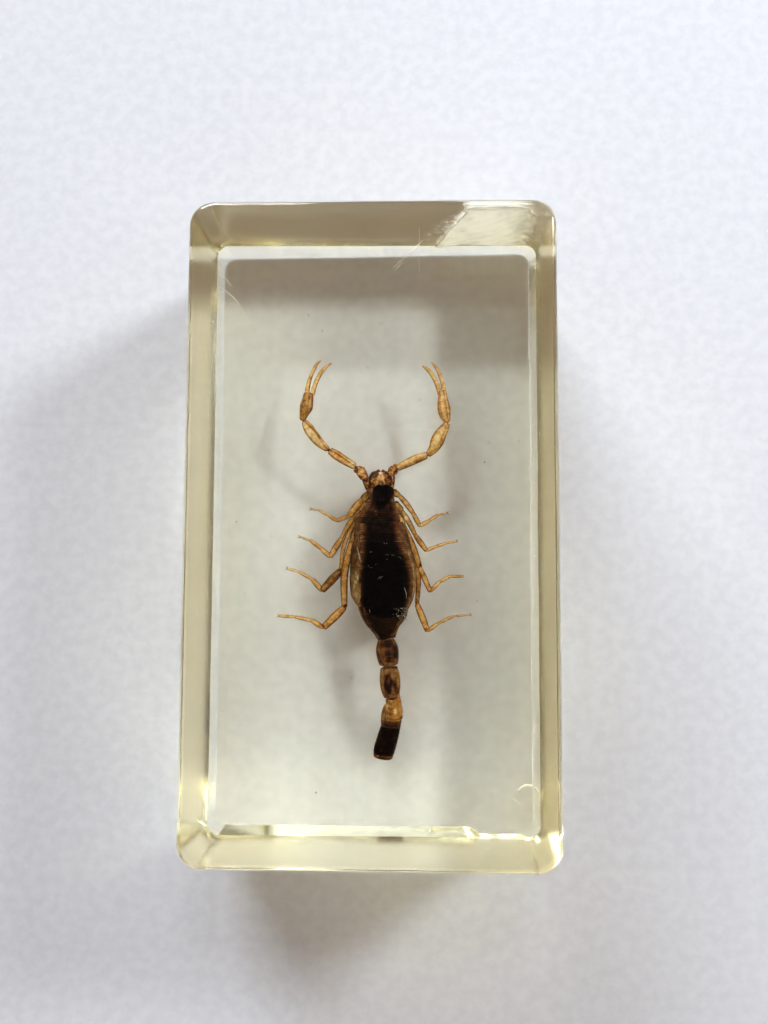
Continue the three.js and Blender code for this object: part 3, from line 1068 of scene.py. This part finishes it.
# Each leg from above: root, then the ends of trochanter, femur, patella, shin, first foot ring and toe; the
# widths of those six rings; how far the femur bows outwards; the tones that differ from the usual ones, and
# which ring is striped.
legs = {
    "left_1": {"joints": ((-0.7, 4.2), (-1.3, 3.6), (-2.75, 1.75), (-4.2, 1.15), (-5.2, 1.8), (-6.3, 2.4),
                          (-7.15, 2.55)), "wide": (0.9, 0.85, 0.5, 0.4, 0.3, 0.2), "bow": 0.1},
    "left_2": {"joints": ((-1.0, 3.2), (-1.6, 2.5), (-3.7, -0.9), (-4.95, -3.0), (-5.95, -2.1), (-7.3, -1.1),
                          (-8.45, -0.72)), "wide": (0.8, 0.55, 0.7, 0.55, 0.45, 0.25), "bow": 0.2},
    # left_3's toe tone of 0.05 is a painted highlight
    "left_3": {"joints": ((-1.3, 2.1), (-2.0, 1.3), (-3.75, -4.6), (-5.85, -6.9), (-7.0, -5.6), (-8.6, -4.75),
                          (-9.85, -4.4)), "wide": (0.75, 0.5, 0.95, 0.6, 0.38, 0.3), "bow": 0.5,
               "tones": {2: 0.66, 3: 0.42, 4: 0.3, 5: 0.05}, "striped": 2},
    "left_4": {"joints": ((-1.7, 0.6), (-2.5, -1.2), (-3.25, -8.8), (-5.65, -11.15), (-7.0, -10.35),
                          (-9.0, -9.95), (-10.75, -9.85)),
               "wide": (0.8, 0.85, 0.9, 0.55, 0.4, 0.35), "bow": 0.42},
    "right_1": {"joints": ((2.4, 4.5), (3.0, 4.15), (4.6, 2.1), (5.4, 0.6), (6.4, 1.15), (7.5, 1.9),
                           (8.5, 2.12)), "wide": (0.7, 0.62, 0.55, 0.48, 0.38, 0.2), "bow": 0.1},
    "right_2": {"joints": ((2.6, 3.1), (3.3, 2.4), (4.85, -0.45), (6.15, -2.25), (7.2, -1.8), (8.35, -1.4),
                           (9.55, -1.15)), "wide": (0.8, 0.6, 0.62, 0.4, 0.35, 0.25), "bow": 0.1},
    "right_3": {"joints": ((2.9, 1.8), (3.5, 0.6), (5.4, -4.2), (6.6, -6.95), (7.6, -5.9), (8.9, -5.2),
                           (10.2, -5.2)), "wide": (0.8, 0.75, 0.62, 0.45, 0.36, 0.35), "bow": 0.15,
                "tones": {5: 0.5}},
    "right_4": {"joints": ((3.4, 0.4), (4.4, -1.4), (5.1, -8.4), (6.3, -11.45), (7.6, -10.55), (9.2, -9.8),
                           (11.1, -9.6)), "wide": (0.8, 0.6, 0.75, 0.45, 0.35, 0.22), "bow": 0.47,
                "tones": {1: 0.62}},
}
legLook = {
    "heights": (8.1, 8.3, 8.6, 8.9, 8.5, 8.2, 8.0),
    "tones": (0.55, 0.52, 0.50, 0.42, 0.36, 0.26),
    "profile": (0.75, 1.0, 1.06, 0.96, 0.8),
    "rings": (40, 70, 60, 44, 40, 40),
    "keels": ((28, 0.02, 5), (152, 0.02, 5), (230, 0.02, 5), (310, 0.02, 5)),
    "stripes": (((0.45, 0.4, 0.45), 0.12, 0.3), ((-0.45, -0.4, -0.45), 0.12, 0.3)),
    "bristles": 6,
    "claw": (0.14, 0.1, 0.03),
}


def clawShells(toe, ahead):
    # two claws that spread from the end of a leg and curve down
    aside = unit(np.cross(ahead, [0, 0, 1]))
    shells = []
    for turn in (-1, 1):
        bend = toe + ahead * 0.25 + aside * turn * 0.13 + [0, 0, 0.06]
        tip = toe + ahead * 0.38 + aside * turn * 0.16 + [0, 0, -0.2]
        shells.append(limb([toe, bend, tip], legLook["claw"], legLook["claw"], 0.5, rings=12, around=8,
                           ends=(0.05, 0.02), grain=0))
    return shells


def makeLegs():
    # Each ring is a limb that swells in its middle, with bristles. The coxa is a piece of its own.
    for index, (name, leg) in enumerate(legs.items()):
        lean = -1 if name.startswith("left") else 1
        joints = [np.array([x, y, z]) for (x, y), z in zip(leg["joints"], legLook["heights"])]
        shells = []
        for k, wide in enumerate(leg["wide"]):
            start, end = joints[k], joints[k + 1]
            ahead = unit(end - start)
            middle = (start + end) / 2 + np.array([0, 0, 0.08])
            if k == 1:
                middle = middle + [lean * abs(ahead[1]) * leg["bow"], 0, 0]
            tone = leg.get("tones", {}).get(k, legLook["tones"][k])
            stripes = legLook["stripes"] if leg.get("striped") == k else ()
            shells.append(limb([start - ahead * 0.1, middle, end + ahead * 0.1],
                               [wide * s for s in legLook["profile"]],
                               [wide * s * 0.8 for s in legLook["profile"]],
                               limbLook(tone, 0.42, 0.3, stripes), rings=legLook["rings"][k], around=28,
                               square=2.5, ends=(0.2, 0.2), keels=legLook["keels"], ridgeTone=0.25,
                               seed=200 + 10 * index + k))
            for h in range(legLook["bristles"] if k > 1 else 2):
                root = start + (end - start) * random.uniform(0.15, 0.95)
                out = random.uniform([-0.25, -0.25, -0.2], [0.25, 0.25, 0.25]) + ahead * 0.12
                reach = wide * 0.45 + random.uniform(0.15, 0.3)
                shells.append(hair(root, root + unit(out) * reach, 0.03))
        makePiece(f"leg_{name}", shells + clawShells(joints[-1], ahead), amberFinish)
        hip = joints[0]
        inner = (1.1 + lean * 0.35, hip[1] - 0.1 - 0.25 * (index % 4), 7.6)
        coxa = limb([inner, hip + [0, 0, -0.35], hip + [lean * 0.2, 0.1, 0]], (0.75, 1.0, 0.95, 0.8),
                    (0.9, 1.1, 1.0, 0.8), limbLook(0.5, 0.2, 0.3), rings=34, around=26, grain=0.03,
                    seed=300 + index)
        makePiece(f"coxa_{name}", [coxa], redFinish)


combs = {
    "bar": ((0.25, -0.6, 7.35), (1.2, -0.95, 7.25), (2.1, -1.7, 7.35)),  # out from the middle line, y and z
    "teeth": 18,
    "plate": ((1.05, 1.6, 7.35), (1.05, 0.6, 7.3), (1.05, -0.2, 7.35)),
    "lids": ((1.05, -0.25, 7.3), (1.05, -0.75, 7.3)),
}


def makeCombs():
    # the pair of combs behind the last coxae, each a curved bar with a row of teeth, and the plate between
    for name, lean in (("left", -1), ("right", 1)):
        bar = [(1.05 + lean * out, y, z) for out, y, z in combs["bar"]]
        shells = [limb(bar, (0.35, 0.42, 0.2), (0.25, 0.28, 0.15), rings=30, around=16, seed=320)]
        centre, ahead, side, lift = pathFrames(bar, np.linspace(0.12, 0.97, combs["teeth"]))
        for spot, back in zip(centre, side * -lean):
            tooth = back * [1, 0, 0] - np.abs(back) * [0, 1, 0]
            shells.append(limb([spot, spot + tooth * 0.22, spot + tooth * 0.42], (0.1, 0.11, 0.07),
                               (0.12, 0.1, 0.06), rings=8, around=8, ends=(0.04, 0.04), grain=0, seed=321))
        makePiece(f"comb_{name}", shells, amberFinish)
    plate = limb(combs["plate"], (0.5, 0.9, 1.15), (0.35, 0.4, 0.3), rings=26, around=24, seed=322)
    lids = limb(combs["lids"], (1.1, 1.5, 1.1), (0.3, 0.35, 0.3), rings=24, around=26, ends=(0.2, 0.2),
                seed=323)
    makePiece("sternum", [plate, lids], amberFinish)


# The tail's rings from the body outwards: centre line, widths and heights along it, finish, and how dark the
# keels are.
tail = {
    1: {"path": ((1.5, -12.25, 9.0), (1.65, -13.3, 9.0), (1.75, -14.2, 9.05), (1.85, -15.1, 9.0),
                 (1.88, -15.5, 9.0)),
        "wide": (1.7, 2.5, 2.55, 2.2, 1.9), "tall": (1.5, 2.0, 2.05, 1.7), "finish": tailFinish,
        "ridge": 0.15},
    2: {"path": ((1.85, -15.4, 9.0), (1.98, -16.4, 9.0), (2.05, -17.4, 8.95), (2.12, -18.2, 8.9),
                 (2.3, -18.95, 8.75)),
        "wide": (1.85, 2.25, 2.35, 2.15, 1.7), "tall": (1.7, 2.0, 2.0, 1.6), "finish": tailFinish,
        "ridge": 0.15},
    3: {"path": ((2.35, -18.75, 8.75), (2.42, -19.6, 8.2), (2.47, -20.4, 7.5), (2.52, -21.1, 6.9),
                 (2.55, -21.5, 6.6)),
        "wide": (1.5, 1.8, 1.85, 1.75, 2.05), "tall": (1.5, 1.8, 1.8, 1.6), "finish": goldFinish,
        "ridge": 0.15},
    4: {"path": ((2.5, -20.0, 6.3), (2.2, -21.2, 5.6), (2.05, -22.7, 4.4)),
        "wide": (1.8, 2.35, 2.45, 2.35, 2.0), "tall": (1.7, 2.0, 2.0, 1.6), "finish": tailFinish,
        "ridge": 0.2},
    5: {"path": ((2.3, -21.85, 4.6), (2.04, -22.75, 4.5), (1.77, -23.65, 4.4), (1.5, -24.6, 4.3),
                 (1.25, -25.5, 4.15), (1.1, -26.5, 4.05)),
        "wide": (1.9, 2.14, 2.3, 2.35, 2.35, 2.0), "tall": (1.8, 2.05, 2.05, 1.9, 1.6), "finish": tipFinish,
        "ridge": -0.12},
}
keelAngles = (28, 62, 118, 152, 208, 242, 298, 332)  # degrees round each ring


def tailLook(number):
    # the tones of one ring as a function of the place seen from above
    def look(across, along, grid):
        x, y, z = np.moveaxis(grid, -1, 0)
        rims = 0.3 * (bell(along, 0.02, 0.03) + bell(along, 0.97, 0.03))
        above = ease(z, 8.6, 9.3)
        if number == 1:
            shade = 0.46 + 0.45 * bell(x, 1.7, 0.6) * between(y, -13.3, -12.5, 0.15) * above
            shade = shade + 0.7 * bell(np.hypot(x - 1.8, y + 14.0), 0, 0.38) * above
            shade = shade + 0.45 * bell(x, 1.95, 0.4) * between(y, -15.0, -14.4, 0.1) * above
            # painted highlight: a pale V across the ring's top
            fork = bell(np.abs(x - 1.75), -0.9 * (y + 14.15), 0.1)
            shade = shade - 0.25 * fork * between(y, -14.1, -13.6, 0.1)
            shade = shade + 0.45 * bell(x, 2.65, 0.26) * between(y, -14.5, -13.2, 0.2)
            return shade + 0.4 * bell(x, 0.8 - 0.38 * (y + 14.4), 0.09) * between(y, -15.1, -13.8, 0.1)
        if number == 2:
            ragged = 0.2 * noise(grid, 0.35, 427)
            oval = 1 - ease(np.hypot((x - 1.85) / 0.46, (y + 17.4) / 1.25) + ragged, 0.75, 1.1)
            core = bell(np.hypot((x - 1.9) / 0.17, (y + 16.95) / 0.5), 0, 1)
            smear = bell(x, 2.35 - 0.4 * (y + 17.1), 0.24) * between(y, -18.5, -17.0, 0.3)
            shade = 0.38 + 0.55 * oval * above - 0.38 * core + 0.32 * smear * (1 + 2 * ragged)
            return shade + 0.4 * bell(y, -15.6, 0.1)
        if number == 3:
            # painted highlights: the pale curls on the golden ring
            highlightCurls = bell(np.hypot(x - 1.75, y + 20.0), 0, 0.22) + bell(np.hypot(x - 2.2, y + 19.2), 0, 0.24)
            highlightCurls = highlightCurls + bell(np.hypot(x - 2.62, (y + 20.6) / 1.6), 0, 0.24)
            folds = np.clip(cloudy(grid, 0.55, 440), 0, 1)
            shade = 0.42 - 0.5 * highlightCurls + 0.9 * folds
            return shade + 0.35 * bell(along, 0.86, 0.03) - 0.3 * bell(along, 0.95, 0.03)
        if number == 4:
            return 0.30 + 0.45 * ease(-y, 21.6, 22.6) + rims
        amber = ease(x, 1.6, 2.3) * ease(y, -23.0, -22.2)
        lines = 0.06 * np.sin(across * 26 + 2 * noise(grid, 1.2, 431))
        shade = 0.93 - 0.42 * amber + lines - 0.5 * ease(along, 0.84, 0.9)
        return shade + 0.2 * noise(grid, 0.3, 430) * (along > 0.84)

    return look


def makeTail():
    # Five ringed tubes with eight beaded keels each, bristles, and the bulb with its sting tucked beneath.
    necks = []
    for n in (1, 2):
        line = [tail[n]["path"][-2], tail[n]["path"][-1], tail[n + 1]["path"][1]]
        necks.append(limb(line, (1.5, 1.3, 1.4), (1.3, 1.2, 1.3), 0.6, rings=40, around=40, seed=450 + n))
    makePiece("tail_necks", necks, tailFinish)
    for number, ring in tail.items():
        keels = [(d, 0.05, 5) for d in keelAngles]
        if number == 5:
            keels = [(d, 0.05, 3.2) for d in keelAngles[1:3] + keelAngles[4:]]
            keels += [(180, 0.10, 4), (0, 0.04, 4)]
        shells = [limb(ring["path"], ring["wide"], ring["tall"], tailLook(number), rings=96, around=96,
                       square=2.5, ends=(0.3, 0.25), keels=keels, ridgeTone=ring["ridge"], grain=0.03,
                       mottle=0.1, seed=420 + number)]
        first, last = np.array(ring["path"][0]), np.array(ring["path"][-1])
        for h in range(14):
            share = random.uniform(0.1, 0.95)
            spot = first * (1 - share) + last * share
            turn = random.uniform(0, 2 * np.pi)
            out = np.array([np.cos(turn), -0.2, np.sin(turn)])
            shells.append(hair(spot + out, spot + out * 1.35, 0.03))
        slot = "dark_shell" if number == 5 else "amber_shell"
        makePiece(f"tail_ring_{number}", shells, ring["finish"])
    bulb = limb([(1.2, -26.1, 3.2), (1.35, -25.2, 2.3), (1.55, -24.1, 1.95)], (0.6, 1.15, 1.3, 0.6),
                (0.6, 1.1, 1.2, 0.55), 0.45, rings=60, around=40, ends=(0.3, 0.4),
                keels=[(250, 0.03, 3)], seed=440)
    thick = (0.5, 0.28, 0.16, 0.03)
    sting = limb([(1.5, -24.3, 1.95), (1.65, -23.5, 1.8), (1.75, -22.85, 2.15), (1.78, -22.6, 2.6)],
                 thick, thick, lambda across, along, grid: 0.3 + 0.7 * along,
                 rings=40, around=16, ends=(0.2, 0.03), grain=0, seed=441)
    makePiece("sting_bulb", [bulb, sting], tailFinish)


# Flecks of trapped air in the resin close over the back, whose pale tones are painted reflections: their path
# seen from above, their width and tone.
flecks = {
    "single": (
        (((1.28, -1.5), (1.42, -1.5)), 0.14, 0.9), (((1.55, -1.5), (1.69, -1.5)), 0.14, 0.9),
        (((-0.32, -2.5), (-0.08, -2.48)), 0.1, 0.9), (((1.5, -2.8), (1.9, -2.82)), 0.05, 0.9),
        (((2.15, -2.8), (2.45, -2.85)), 0.05, 0.9), (((1.57, -3.35), (1.73, -3.3)), 0.08, 0.85),
        (((0.76, -4.3), (0.84, -4.3)), 0.08, 0.9), (((0.36, -3.9), (0.44, -3.9)), 0.08, 0.9),
        (((0.55, -5.6), (0.85, -5.4), (1.2, -5.3)), 0.05, 0.8), (((0.9, -5.65), (0.85, -5.25)), 0.05, 0.85),
        (((-0.5, -4.0), (-0.3, -4.25), (0.0, -4.3)), 0.05, 0.95),
        (((2.9, -3.0), (3.15, -3.1), (3.3, -3.35)), 0.05, 0.9),
        (((3.62, -6.5), (3.84, -7.1), (3.88, -7.8)), 0.07, 0.45),
        (((-0.3, -9.0), (-0.25, -9.5)), 0.1, 0.5), (((0.5, -9.6), (0.7, -9.62)), 0.1, 0.5),
        (((1.1, -9.9), (1.3, -9.9)), 0.1, 0.5), (((1.6, -10.1), (1.8, -10.1)), 0.09, 0.5),
        (((2.1, -10.5), (2.3, -10.45)), 0.1, 0.5), (((2.85, -10.2), (3.0, -10.25)), 0.12, 0.4),
    ),
    # a pale strip over the left flank, painted as a highlight
    "skin": (((-1.8, -1.9), (-1.6, -2.7), (-1.35, -3.7)), 0.12, 0.5),
    "cluster": {"count": 110, "x": (2.3, 4.0), "y": (-10.3, -8.7)},
}


def makeFlecks():
    # flattened limbs just above the back, a pale strip painted as a highlight, and a cluster of small flakes
    # turned at random; their pale tones are painted glints of trapped air
    shells = []
    for path, wide, tone in flecks["single"]:
        line = [(x, y, onBack(x, y) + 0.05) for x, y in path]
        shells.append(limb(line, (wide * 0.6, wide, wide * 0.6), (0.05, 0.06, 0.05), tone, rings=14, around=8,
                           ends=(wide / 2, wide / 2), grain=0))
    path, wide, tone = flecks["skin"]
    shells.append(limb([(x, y, 10.1) for x, y in path], (wide * 0.5, wide, wide * 0.5), (0.1, 0.1, 0.1), tone,
                       rings=30, around=10, ends=(0.1, 0.1), grain=0.03))
    cluster = flecks["cluster"]
    for i in range(cluster["count"]):
        x, y = (random.uniform(*cluster[key]) for key in ("x", "y"))
        turn, reach = random.uniform(0, np.pi), random.uniform(0.04, 0.13)
        step = np.array([np.cos(turn), np.sin(turn), random.uniform(-0.3, 0.3)]) * reach
        spot = np.array([x, y, onBack(x, y) + 0.06])
        shells.append(limb([spot - step, spot + step], (0.05, 0.02), (0.03, 0.02), random.uniform(0, 0.6),
                           rings=6, around=6, ends=(0.03, 0.03), grain=0))
    makePiece("trapped_air_glints", shells, fleckFinish)


makeCarapace()
makeBackPlates()
makeSideSkin()
makeBellyPlates()
makeJaws()
makeArms()
makeLegs()
makeCombs()
makeTail()
makeFlecks()
print("scorpion made")


flaws = {
    "specks": ((-5.57, -28.17, 19.9, 0.07), (-0.41, 17.47, 19.9, 0.05), (-10.67, -1.09, 19.9, 0.05),
               (12.35, 7.03, 19.9, 0.07)),
    "scratches": (  # places on the top face, and width
        (((-17.0, 28.1), (-16.1, 27.3), (-15.46, 26.61)), 0.15),
        (((-16.9, 27.8), (-15.8, 27.0)), 0.07),
        (((-16.9, 26.6), (-15.2, 25.3), (-14.4, 24.2), (-13.72, 22.97)), 0.15),
        (((2.37, 28.56), (4.1, 30.2), (5.7, 31.72)), 0.13),
        (((2.6, 28.3), (3.4, 29.2)), 0.09),
        (((5.25, 33.1), (5.32, 26.61)), 0.03),
        (((12.34, 28.15), (12.34, 26.79)), 0.05),
        (((-4.61, 25.19), (-2.91, 21.56)), 0.03),
        (((-2.83, 10.94), (1.01, 10.71), (17.39, 10.47)), 0.03),
        (((6.5, 0.72), (17.31, 0.74)), 0.03),
    ),
    "fineScratches": {"count": 90, "x": (-15, 17.5), "y": (19, 31), "reach": (0.2, 0.8), "wide": 0.03},
    "chip": (  # shell lines of the chip in the near right corner, just above the base, painted bright as glints
        (((17.0, -30.3), (17.9, -29.7), (18.85, -29.7)), 0.28),
        (((18.85, -29.7), (19.5, -30.4), (19.6, -31.4)), 0.08),
        (((16.1, -31.1), (17.0, -31.6), (17.5, -32.2)), 0.08),
        (((15.7, -34.7), (16.2, -34.5)), 0.12), (((16.5, -34.75), (17.0, -34.6)), 0.12),
    ),
    "patch": {  # a ground place on the far wall: its lower and upper edge in x and z
        "x": (5.4, 6.2, 7.5, 7.75, 8.7, 10.4, 14.4, 16.7, 18.1, 19.2, 19.6),
        "low": (7.5, 5.0, 0.9, 0.9, 1.3, 2.0, 1.6, 1.4, 2.6, 4.5, 5.6),
        "high": (15.5, 15.5, 14.5, 14.2, 16.0, 18.6, 19.0, 18.9, 17.5, 13.0, 9.0),
        "deep": 0.3,
        "thick": 0.10,
        "ripple": 0.012,
        "corner": 17.3,  # right of here it bends round the corner
        "edge": 7.0,  # left of here it is only a smear; the edge leans right by "lean" for each mm up
        "lean": 0.24,
        "smear": 0.72,
        "crestX": (7.0, 8.7, 10.4, 18.0),  # it thins out above this line
        "crestZ": (7.9, 13.2, 17.6, 17.6),
    },
}


def makeDust():
    specks = [blob((x, y, z), (r, r * 1.3, r * 0.8), rough=0.3, seed=i, rings=8, around=10)
              for i, (x, y, z, r) in enumerate(flaws["specks"])]
    makePiece("dust_specks", specks, dustFinish)


def makeScratches():
    # flat limbs just under the top face, the chip's shell lines painted bright as glints, and fine scratches
    # turned at random
    top = boxHigh[2] - 0.03
    shells = []
    for lines, z in ((flaws["scratches"], top), (flaws["chip"], 1.1)):
        for path, wide in lines:
            shells.append(limb([(x, y, z) for x, y in path], (wide * 0.4, wide, wide * 0.3),
                               (0.02, 0.03, 0.02), 0.0, rings=30, around=6, ends=(0.1, 0.1), grain=0))
    fine = flaws["fineScratches"]
    for i in range(fine["count"]):
        x, y = (random.uniform(*fine[key]) for key in ("x", "y"))
        turn, reach = random.uniform(0, np.pi), random.uniform(*fine["reach"])
        step = np.array([np.cos(turn), np.sin(turn), 0]) * reach
        spot = np.array([x, y, top])
        shells.append(limb([spot - step, spot + step], (0.01, fine["wide"], 0.01), (0.01, 0.02, 0.01), 0.0,
                           rings=8, around=5, ends=(0.05, 0.05), grain=0))
    makePiece("scratches", shells, scratchFinish)


def makeGroundPatch():
    # A thin sheet: x runs along the far wall and z from the lower to the upper edge. Its depth follows the
    # leaning wall and the round corner, with curved streaks. It thins out where the shade is high: above
    # the crest, left of the slanting edge and towards its borders.
    patch = flaws["patch"]
    u, v = np.linspace(-1, 1, 140)[None], np.linspace(0, 1, 60)[:, None]
    x = patch["x"][0] + (patch["x"][-1] - patch["x"][0]) * (u + 1) / 2
    low, high = (np.interp(x, patch["x"], patch[key]) for key in ("low", "high"))
    z = low + (high - low) * v
    flat = pointsAt(x, 0, z)
    streaks = np.sin(np.hypot(x - 4, (z - 22) * 0.8) * 4.5 + 2 * noise(flat, 2.0, 501))
    leaning = block["draft"]["far"] * (1 - z / blockHeight)
    bend = 0.3 * np.clip(x - patch["corner"], 0, 9) ** 2
    y = boxHigh[1] - leaning - patch["deep"] - bend + patch["ripple"] * streaks
    outer = pointsAt(x, y, z)
    inner = outer - pointsAt(0, patch["thick"] * plateEdge(u, v), 0)
    crest = np.interp(x, patch["crestX"], patch["crestZ"])
    edge = patch["edge"] + patch["lean"] * z
    shade = 0.12 + 0.04 * streaks + 0.25 * cloudy(flat, 1.5, 502) + 1.2 * ease(z, crest - 1.0, crest + 1.2)
    shade = shade + patch["smear"] * (1 - ease(x, edge - 0.35, edge + 0.25)) + 0.8 * ease(x, 15.5, 19.5)
    shade = shade + 0.35 * (1 - ease(x, 5.4, 6.4))
    fade = np.minimum(ease(v, 0, 0.05), ease(1 - v, 0.02, 0.2))
    fade = np.minimum(fade, ease(1 - np.abs(u), 0.02, 0.1))
    shade = np.maximum(shade, 1 - fade)
    makePiece("ground_patch", [sheetShell(outer, inner, shade)], groundFinish)


makeDust()
makeScratches()
makeGroundPatch()
print("flaws made")


room = {
    "floorGap": 0.05,  # mm between paper and block
    "camera": (4.785, -6.74, 121.0),  # mm
    "tilt": (4.71, 1.86, 0.10),  # degrees about x, y and z
    "lens": 33.03,
    "overhead": rgb(0.42, 0.345, 0.305),
    "zenith": rgb(0.02, 0.02, 0.02),  # darker straight above, where the camera looks down from
    "around": rgb(0.25, 0.235, 0.22),
    "sill": rgb(1.15, 1.2, 1.32),  # the bright strip under the far window, which the base's near edge mirrors
    "sillHeight": (0.0, 0.02, 0.12, 0.14),  # z of the directions where it rises and where it ends
    "sillGap": (0.055, 0.065, 0.12, 0.14),  # x of those where it has a gap
    "backdrop": rgb(0.72, 0.73, 0.76),
    "lights": (  # turned from +Y towards +X and raised, in degrees; far, wide and high in metres; watts
        {"name": "far window", "turn": -20, "raised": 17, "far": 1.2, "wide": 0.55, "high": 0.28,
         "power": 16.2, "colour": (0.90, 1.0, 1.09)},
        {"name": "side window", "turn": 56, "raised": 29, "far": 0.6, "wide": 0.14, "high": 0.14,
         "power": 2.15, "colour": (0.93, 1.0, 1.06)},
        {"name": "high window", "turn": 12, "raised": 55, "far": 0.6, "wide": 0.06, "high": 0.06,
         "power": 0.25, "colour": (0.97, 1.0, 1.03)},
    ),
}


def makeRoom():
    # a pale floor, a sky that is dark straight above with a bright strip low at the far side, three windows
    # and the camera
    bpy.ops.mesh.primitive_plane_add(size=4.0, location=(0, 0, -room["floorGap"] * mm))
    floor = bpy.context.object
    floor.name = "floor"
    paper = newFinish("paper")
    fibre = paper.grain(700, detail=5)
    floor.data.materials.append(paper.surface({
        "Base Color": paper.mix(fibre.rise(0.3, 0.7), rgb(0.80, 0.80, 0.84), rgb(0.865, 0.865, 0.90)),
        "Roughness": 0.9,
        "Specular IOR Level": 0.1,
    }))
    bpy.context.scene.world = bpy.data.worlds.new("room")
    sky = Finish(bpy.context.scene.world)
    towards = sky.node("ShaderNodeTexCoord")
    across, away, upward = (sky.node("ShaderNodeSeparateXYZ", None, {0: towards}, output=k) for k in range(3))
    sill = away.rise(0.7, 0.8) * (1 - across.band(*room["sillGap"])) * upward.band(*room["sillHeight"])
    colour = sky.mix(upward.rise(0.45, 0.9), room["around"], room["overhead"])
    colour = sky.mix(sill, colour, room["sill"])
    colour = sky.mix(upward.rise(0.925, 0.965), colour, room["zenith"])
    colour = sky.mix(sky.node("ShaderNodeLightPath"), colour, room["backdrop"])
    background = sky.node("ShaderNodeBackground", None, {"Color": colour})
    sky.node("ShaderNodeOutputWorld", sockets={"Surface": background})
    for light in room["lights"]:
        addLight(**light)
    data = bpy.data.cameras.new("camera")
    camera = bpy.data.objects.new("camera", data)
    bpy.context.scene.collection.objects.link(camera)
    camera.location = [v * mm for v in room["camera"]]
    camera.rotation_mode = "ZYX"
    camera.rotation_euler = [math.radians(v) for v in room["tilt"]]
    data.lens = room["lens"]
    data.sensor_width = 36.0
    data.clip_start = 0.01
    bpy.context.scene.camera = camera


def addLight(name, turn, raised, far, wide, high, power, colour):
    # a soft rectangle that faces the block from its direction and distance
    data = bpy.data.lights.new(name, "AREA")
    data.shape = "RECTANGLE"
    data.size = wide
    data.size_y = high
    data.energy = power
    data.color = colour
    lamp = bpy.data.objects.new(name, data)
    bpy.context.scene.collection.objects.link(lamp)
    turn, raised = math.radians(turn), math.radians(raised)
    direction = (math.sin(turn) * math.cos(raised), math.cos(turn) * math.cos(raised), math.sin(raised))
    lamp.location = [far * v for v in direction]
    lamp.rotation_mode = "QUATERNION"
    lamp.rotation_quaternion = lamp.location.to_track_quat("Z", "Y")
    lamp.visible_camera = False


makeRoom()
scene = bpy.context.scene
scene.view_settings.view_transform = "Standard"
scene.cycles.max_bounces = 24
scene.cycles.transmission_bounces = 24
scene.cycles.glossy_bounces = 16
scene.cycles.diffuse_bounces = 5
scene.cycles.caustics_refractive = True
scene.cycles.caustics_reflective = True
scene.cycles.blur_glossy = 0.0
scene.cycles.sample_clamp_indirect = 0.0
print("room made")
